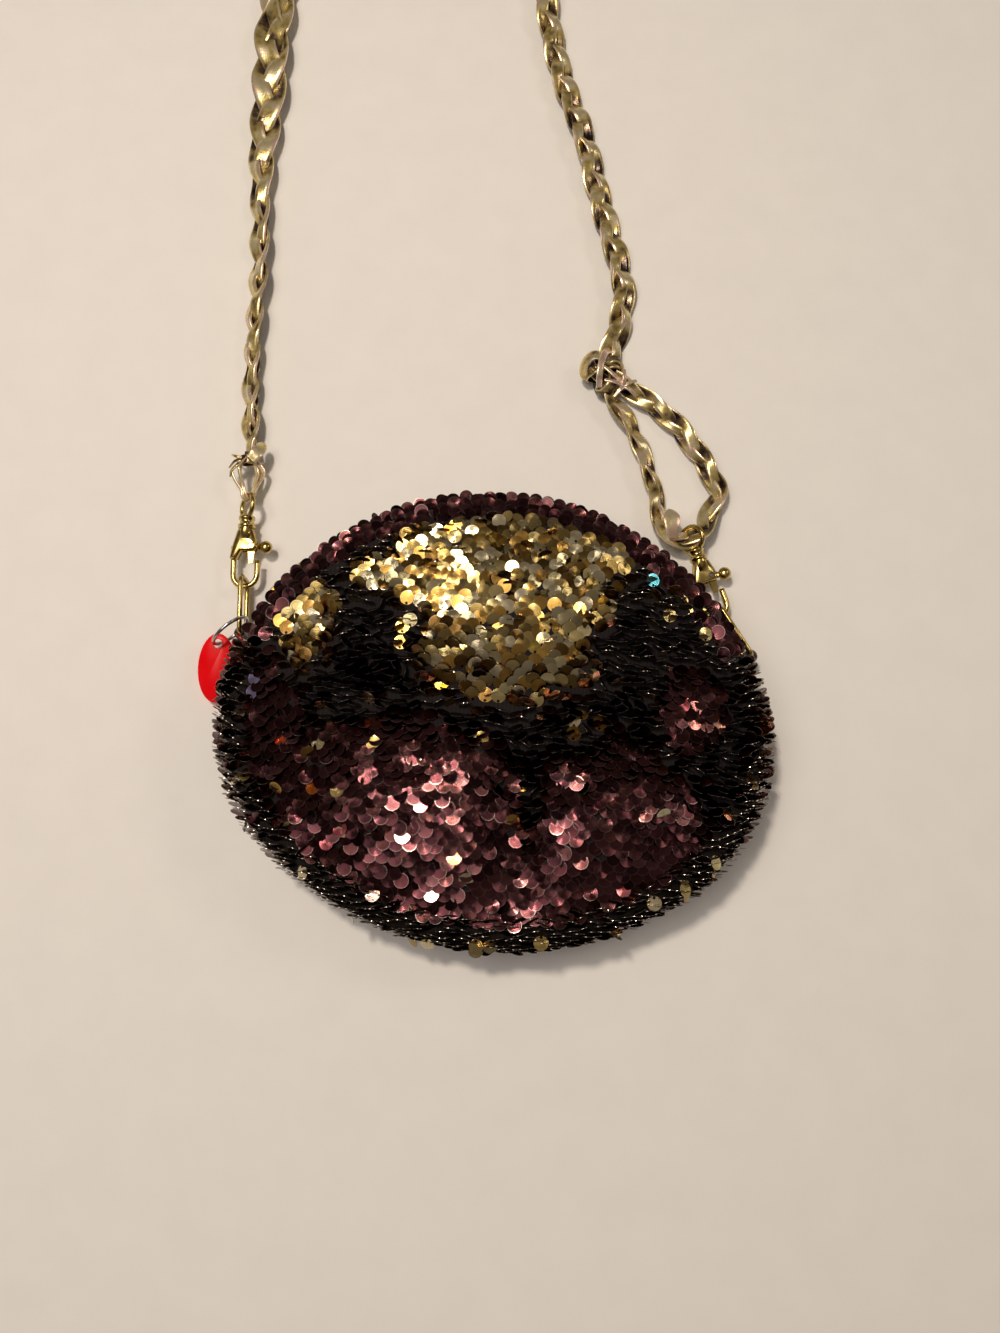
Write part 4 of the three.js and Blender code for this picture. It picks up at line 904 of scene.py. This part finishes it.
# Each flash: x and y, and the colour of its glint, painted into the disc's film as a painted highlight.
RED_FLASHES = (
    (-57, -29, "#F0863C"), (-48, -31, "#FFDF9A"), (-40, -27, "#FF9AA0"), (-20, -32, "#F08A90"),
    (-25, -41, "#FFC4BE"), (-47, -42, "#FF8E9A"), (-50, -47, "#FF8E9A"), (-7, -48, "#FFA878"),
    (-13, -60, "#FFE6DC"), (-32, -63, "#FFD8C8"), (-57, -17, "#FFF0C0"), (-72, -15, "#F07048"),
    (69, 5, "#FFA8A0"), (65, 13, "#F08A8A"), (47, -53, "#FF9AA0"), (-82, 5, "#CFC8FF"),
    (-81, 0, "#CFC8FF"), (75, 5, "#FFC0A8"), (68, 9, "#F09A98"), (62, 10, "#B05A62"),
)
GOLD_FLASHES = (
    (54, 53, "#6CCBE0"), (-22, 60, "#FFA030"), (5, 36, "#FFF4D0"), (-67, 25, "#FFF4D0"),
    (-15, 60, "#FFF4D0"), (73, 37, "#FFE9A8"), (29, 0, "#8A6A2C"), (34, -3, "#8A6A2C"),
    (26, -6, "#7A5A24"), (10, -20, "#A87E2E"), (12, -24, "#A87E2E"), (-35, 23, "#A08242"),
    (-34, 18, "#8E7038"), (-20, 5, "#F2C23C"), (-11, 17, "#E8D27A"), (-14, 10, "#F0E6C8"),
    (22, 17, "#C08A4A"), (13, 21, "#B8A04E"), (2, 12, "#8A6028"),
)
FLASHES = [(*f, RED_SIDE) for f in RED_FLASHES] + [(*f, GOLD_SIDE) for f in GOLD_FLASHES]


def panel_seats(far):
    """Staggered seats on a panel, out to a share of the way to its seam."""
    seats = []
    for i, y in enumerate(np.arange(-80, 80, ROW)):
        x = np.arange(-100, 100, PITCH) + (PITCH / 2 if i % 2 else 0)
        seats.append(np.stack([x, np.full_like(x, y)], -1))
    seats = np.vstack(seats) + rng.normal(0, JITTER, (sum(map(len, seats)), 2))
    return seats[share(seats[:, 0], seats[:, 1]) < far]


seats = panel_seats(0.998)
x, y = seats[:, 0], seats[:, 1]
z = front_height(x, y)
dx = front_height(x + 0.5, y) - front_height(x - 0.5, y)
dy = front_height(x, y + 0.5) - front_height(x, y - 0.5)
normal = unit(np.stack([-dx, -dy, np.ones_like(dx)], -1))
down = np.broadcast_to([0.0, -1.0, 0.0], normal.shape)
sew("front_sequins", np.stack([x, y, z - DEEP], -1), normal, down, front_flip(x, y, z), 5.0, FLASHES)

# %% [markdown]
# ## Sequins round the side, along the zip and on the back
# Round the side the sequins point towards the zip and turn with the bulge, so from the front they are seen
# on edge, as a dark fringe. On the front strip beside the zip they are lifted to face the front, as a
# burgundy rim. On the back strip and the back they are pressed flat by the bag's own weight, and the back
# has one patch of gold.

# %% Side, zip and back sequins
TAB_TURN, TAB_CLEAR = -38.0, 8
# The flash discs round the side take the colour of their glints, a painted highlight, in place of their
# lacquer.
SIDE_FLASHES = (80, -40, "#E8D9A0"), (70, -51, "#D8C27A"), (23, -73, "#C9B06A")
RIM_FLASHES = (57, 51), (61, 48), (64, 44), (66, 47), (68, 41), (70, 43)
SIDE_STRAYS, SIDE_STRAY = 0.03, 150  # the share of discs turned to gold, and their flip
FACE_UP = 76  # degrees above the horizon that the rim's discs face
BACK_PATCH = [(-20, 30), (24, 44), (50, 8), (12, -26), (-34, -6)]


def band_seats(first, last, low, high, along_step, turn_step):
    """Staggered seats on the side band, clear of the tabs, with their bearings and turns."""
    fine = np.linspace(first, last, 900)
    line = side_band(fine, np.zeros_like(fine), 0)[0]
    along = np.concatenate([[0], np.cumsum(steps(line))])
    bearings = np.interp(np.arange(along_step / 2, along[-1], along_step), along, fine)
    step = math.degrees(turn_step / BULGE_R)
    turns = np.arange(high - step / 4, low, -step)
    pairs = [(b, t - (step / 2 if i % 2 else 0)) for i, b in enumerate(bearings) for t in turns]
    pairs = np.array([p for p in pairs if p[1] > low])
    pairs += rng.normal(0, 1, pairs.shape) * (0.1, 0.6)
    seat, normal = side_band(pairs[:, 0], pairs[:, 1], DEEP)
    tabs = side_band(np.array([SEAM_LEFT, SEAM_RIGHT]), np.array([TAB_TURN, TAB_TURN]), 0)[0]
    clear = np.min([np.linalg.norm(seat - t, axis=1) for t in tabs], 0) > TAB_CLEAR
    return seat[clear], normal[clear], pairs[clear, 0], pairs[clear, 1]


round_side = SEAM_RIGHT + 0.6, 360 + SEAM_LEFT - 1.5
seat, normal, _, turn = band_seats(*round_side, -SEAM_TURN, SEAM_TURN, ROW, PITCH)
nap = unit([0.0, 1.0, 0.0] - normal * normal[:, 1:2])
flip = np.maximum(0.75 * np.degrees(np.arctan2(normal[:, 2], nap[:, 2])), 8) + 10 * cloud(seat, 15, 5.2)
flip = np.where((rng.random(len(seat)) < SIDE_STRAYS) & (turn > 10), SIDE_STRAY, flip)
flip = np.where(turn < -30, np.interp(turn, [-60, -30], [8, 30]), flip)
sew("side_sequins", seat, normal, nap, flip, 4.0, [(*f, GOLD_SIDE) for f in SIDE_FLASHES])

# The rim's flash discs all take one pale gold, a painted highlight.
rim_flashes = [(x, y, "#C4B070", GOLD_SIDE) for x, y in RIM_FLASHES]
for name, low, high, sign, lean, flashes in (
    ("zip_front_sequins", ZIP_WINDOW + 9, SEAM_TURN, -1, 9.0, rim_flashes),
    ("zip_back_sequins", -SEAM_TURN, -ZIP_WINDOW - 12, 1, 5.0, ()),
):
    seat, normal, bearing, turn = band_seats(SEAM_LEFT + 0.6, SEAM_RIGHT - 0.6, low, high, PITCH, ROW)
    toward = sign * unit(side_band(bearing, turn + 1, 0)[0] - side_band(bearing, turn - 1, 0)[0])
    flip = (np.maximum(FACE_UP - turn, 8) if sign < 0 else 10) + 8 * cloud(seat, 18, 9.4)
    sew(name, seat, normal, toward, flip, lean, flashes)

seats = panel_seats(0.97)
x, y = seats[:, 0], seats[:, 1]
normal = np.broadcast_to([0.0, 0.0, -1.0], (len(x), 3))
down = np.broadcast_to([0.0, -1.0, 0.0], normal.shape)
patch = inside(x, y, BACK_PATCH) + 6 * cloud(np.stack([x, y, x * 0], -1), 11, 2.2)
flip = np.where(patch > 0, 176.0, 4.0)
sew("back_sequins", np.stack([x, y, np.full_like(x, 1.0)], -1), normal, down, flip, 1.2)

# %% [markdown]
# ## Metal
# The clasps are cast zinc with a thin pale gold plate, the tag's ring and the triggers' pins and springs
# are steel wire, and the zip's metal is stamped brass. All are polished, so they mirror the room, with
# softer patches where they were handled. The CAD shapes are right. Each is copied, its corners are merged,
# and its round faces are shaded smooth, which is what polishing does to the eye.

# %% Metal materials
POLISH = 0.6  # fine waves that polishing leaves


def metal(name, dark, light, low, high, patch):
    made, tree, shader, place = surface(name, Metallic=1.0)
    wear = put(tree, "TexNoise", Vector=place, Scale=1000 / patch, Detail=4.0).outputs["Fac"]
    tint = put(tree, "ValToRGB", {"stops": ((0.3, dark), (0.7, light))}, Fac=wear).outputs["Color"]
    rough = put(tree, "MapRange", Value=wear, From_Min=0.3, From_Max=0.7, To_Min=low, To_Max=high)
    fine = put(tree, "TexNoise", Vector=place, Scale=1000 / POLISH, Detail=2.0).outputs["Fac"]
    bump = put(tree, "Bump", Strength=0.05, Distance=0.0001, Height=fine).outputs["Normal"]
    join(tree, shader, Base_Color=tint, Roughness=rough.outputs["Result"], Normal=bump)
    return made


plated = metal("gold_plated_zinc", "#B79A50", "#D9C284", 0.16, 0.28, 4.0)
stamped = metal("stamped_brass", "#9C7C36", "#C6A55A", 0.24, 0.4, 3.0)
steel = metal("bright_steel_wire", "#A9A8A6", "#CFCDCA", 0.18, 0.3, 3.0)

# %% Finished copies
SLOTS = {s["node"]: s["material_slot"] for s in frame["record"]["subparts"]}
FINISH = {"clasp_metal": plated, "zip_metal": stamped, "steel": steel}
SHARP = 38  # corners above this angle stay sharp


def finished(node, material):
    piece = nodes[node].copy()
    piece.data = nodes[node].data.copy()
    piece.name = node + "_finished"
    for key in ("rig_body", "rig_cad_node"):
        if key in piece:
            del piece[key]
    piece.parent = None
    bpy.context.collection.objects.link(piece)
    select_only(piece)
    mode("EDIT")
    bpy.ops.mesh.select_all(action="SELECT")
    bpy.ops.mesh.remove_doubles(threshold=2e-6)
    mode("OBJECT")
    bpy.ops.object.shade_smooth_by_angle(angle=math.radians(SHARP))
    piece.data.materials.clear()
    piece.data.materials.append(material)
    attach(piece, nodes[node]["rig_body"])
    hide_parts(node)


for node, slot in SLOTS.items():
    if slot in FINISH:
        finished(node, FINISH[slot])
print("polished metal pieces:", sum(slot in FINISH for slot in SLOTS.values()))

# %% [markdown]
# ## Tape, webbing and tag
# The zip tape and the two strap tabs are narrow woven tapes, matt with slanting ribs. The tag is a plain
# oval of red plastic, moulded smooth, so it is glossy.

# %% Tape, webbing and tag
TAG_MARKS = 8.0


def woven(name, dark, light, thread):
    made, tree, shader, place = surface(name, Roughness=0.75, IOR=1.48)
    slant, scale = {"bands_direction": "DIAGONAL"}, 1000 / thread / BANDS
    warp = put(tree, "TexWave", slant, Vector=place, Scale=scale, Distortion=0.6).outputs["Fac"]
    tint = put(tree, "ValToRGB", {"stops": ((0.2, dark), (0.8, light))}, Fac=warp).outputs["Color"]
    bump = put(tree, "Bump", Strength=0.5, Distance=0.0002, Height=warp).outputs["Normal"]
    join(tree, shader, Base_Color=tint, Normal=bump)
    return made


zip_cloth = woven("woven_zip_tape", "#191114", "#2C2024", 0.6)
webbing = woven("woven_tab_tape", "#2A2426", "#5A5054", 0.7)
for node in ("zip_tape_front", "zip_tape_back"):
    finished(node, zip_cloth)
for node in ("left_tab", "right_tab"):
    finished(node, webbing)
red, tree, shader, place = surface("glossy_red_plastic", IOR=1.45, Specular_IOR_Level=0.3)
marks = put(tree, "TexNoise", Vector=place, Scale=1000 / TAG_MARKS, Detail=3.0).outputs["Fac"]
tint = put(tree, "ValToRGB", {"stops": ((0.3, "#F2000D"), (0.7, "#FF0A18"))}, Fac=marks).outputs["Color"]
rough = put(tree, "MapRange", Value=marks, To_Min=0.24, To_Max=0.42).outputs["Result"]
join(tree, shader, Base_Color=tint, Roughness=rough)
finished("hang_tag", red)

# %% [markdown]
# ## Floor and light
# The floor is a plain pale sheet of matt paper. A small warm lamp stands high at the upper left, so the
# sequins flash. A wide soft lamp at the left fills the shade, and a weak one lights the right. The room is
# pale at the horizon, dark halfway up and paler overhead, for the metal to mirror.

# %% Floor and light
FLOOR_R, FLOOR_DROP = 8.0, 0.0004
PAPER_CLOUDS = 60.0  # to the metre: clouds of fibres about 17 mm across
bpy.ops.object.select_all(action="DESELECT")
bpy.ops.mesh.primitive_circle_add(vertices=96, radius=FLOOR_R, fill_type="NGON", location=(0, 0, -FLOOR_DROP))
floor = bpy.context.object
floor.name = "floor"
paper, tree, shader, place = surface("pale_paper", Roughness=0.9)
fibre = put(tree, "TexNoise", Vector=place, Scale=PAPER_CLOUDS, Detail=3.0).outputs["Fac"]
tint = put(tree, "ValToRGB", {"stops": ((0.3, "#F5F3F1"), (0.7, "#F8F6F4"))}, Fac=fibre).outputs["Color"]
join(tree, shader, Base_Color=tint)
floor.data.materials.append(paper)
floor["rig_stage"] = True


def lamp(name, place, aim, size, power, hexa):
    light = bpy.data.lights.new(name, "AREA")
    light.shape, light.size, light.energy, light.color = "DISK", size, power, linear(hexa)[:3]
    made = bpy.data.objects.new(name, light)
    bpy.context.collection.objects.link(made)
    made.location = place
    made.rotation_euler = (Vector(aim) - Vector(place)).to_track_quat("-Z", "Y").to_euler()


lamp("key", tuple(KEY * MM), (0, 0, 0.03), 0.12, 5.4, "#FFEFDA")
lamp("fill", (-0.42, 0.0, 1.1), (0, 0, 0.03), 0.6, 2.8, "#FFF6EC")
lamp("right", (0.85, 0.5, 0.95), (0.06, 0, 0.03), 0.3, 1.2, "#FFF3E4")
world = bpy.data.worlds.new("room")
bpy.context.scene.world = world
world.use_nodes = True
tree = world.node_tree
ROOM = (0.0, "#D2CAC2"), (0.4, "#7C7167"), (0.6, "#5C5249"), (1.0, "#A89D93")
facing = put(tree, "TexCoord").outputs["Generated"]
height = put(tree, "SeparateXYZ", Vector=facing).outputs["Z"]
sky = put(tree, "ValToRGB", {"stops": ROOM}, Fac=height).outputs["Color"]
join(tree, tree.nodes["Background"], Color=sky)
tree.nodes["Background"].inputs["Strength"].default_value = 0.6
bpy.context.scene.view_settings.view_transform = "Standard"
print("lamps:", len(bpy.data.lights))

# %% [markdown]
# ## Sizes
# The finished object's box is measured and printed.

# %% Sizes
low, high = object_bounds()
print("visual box", [round(v, 4) for v in (*low, *high)])
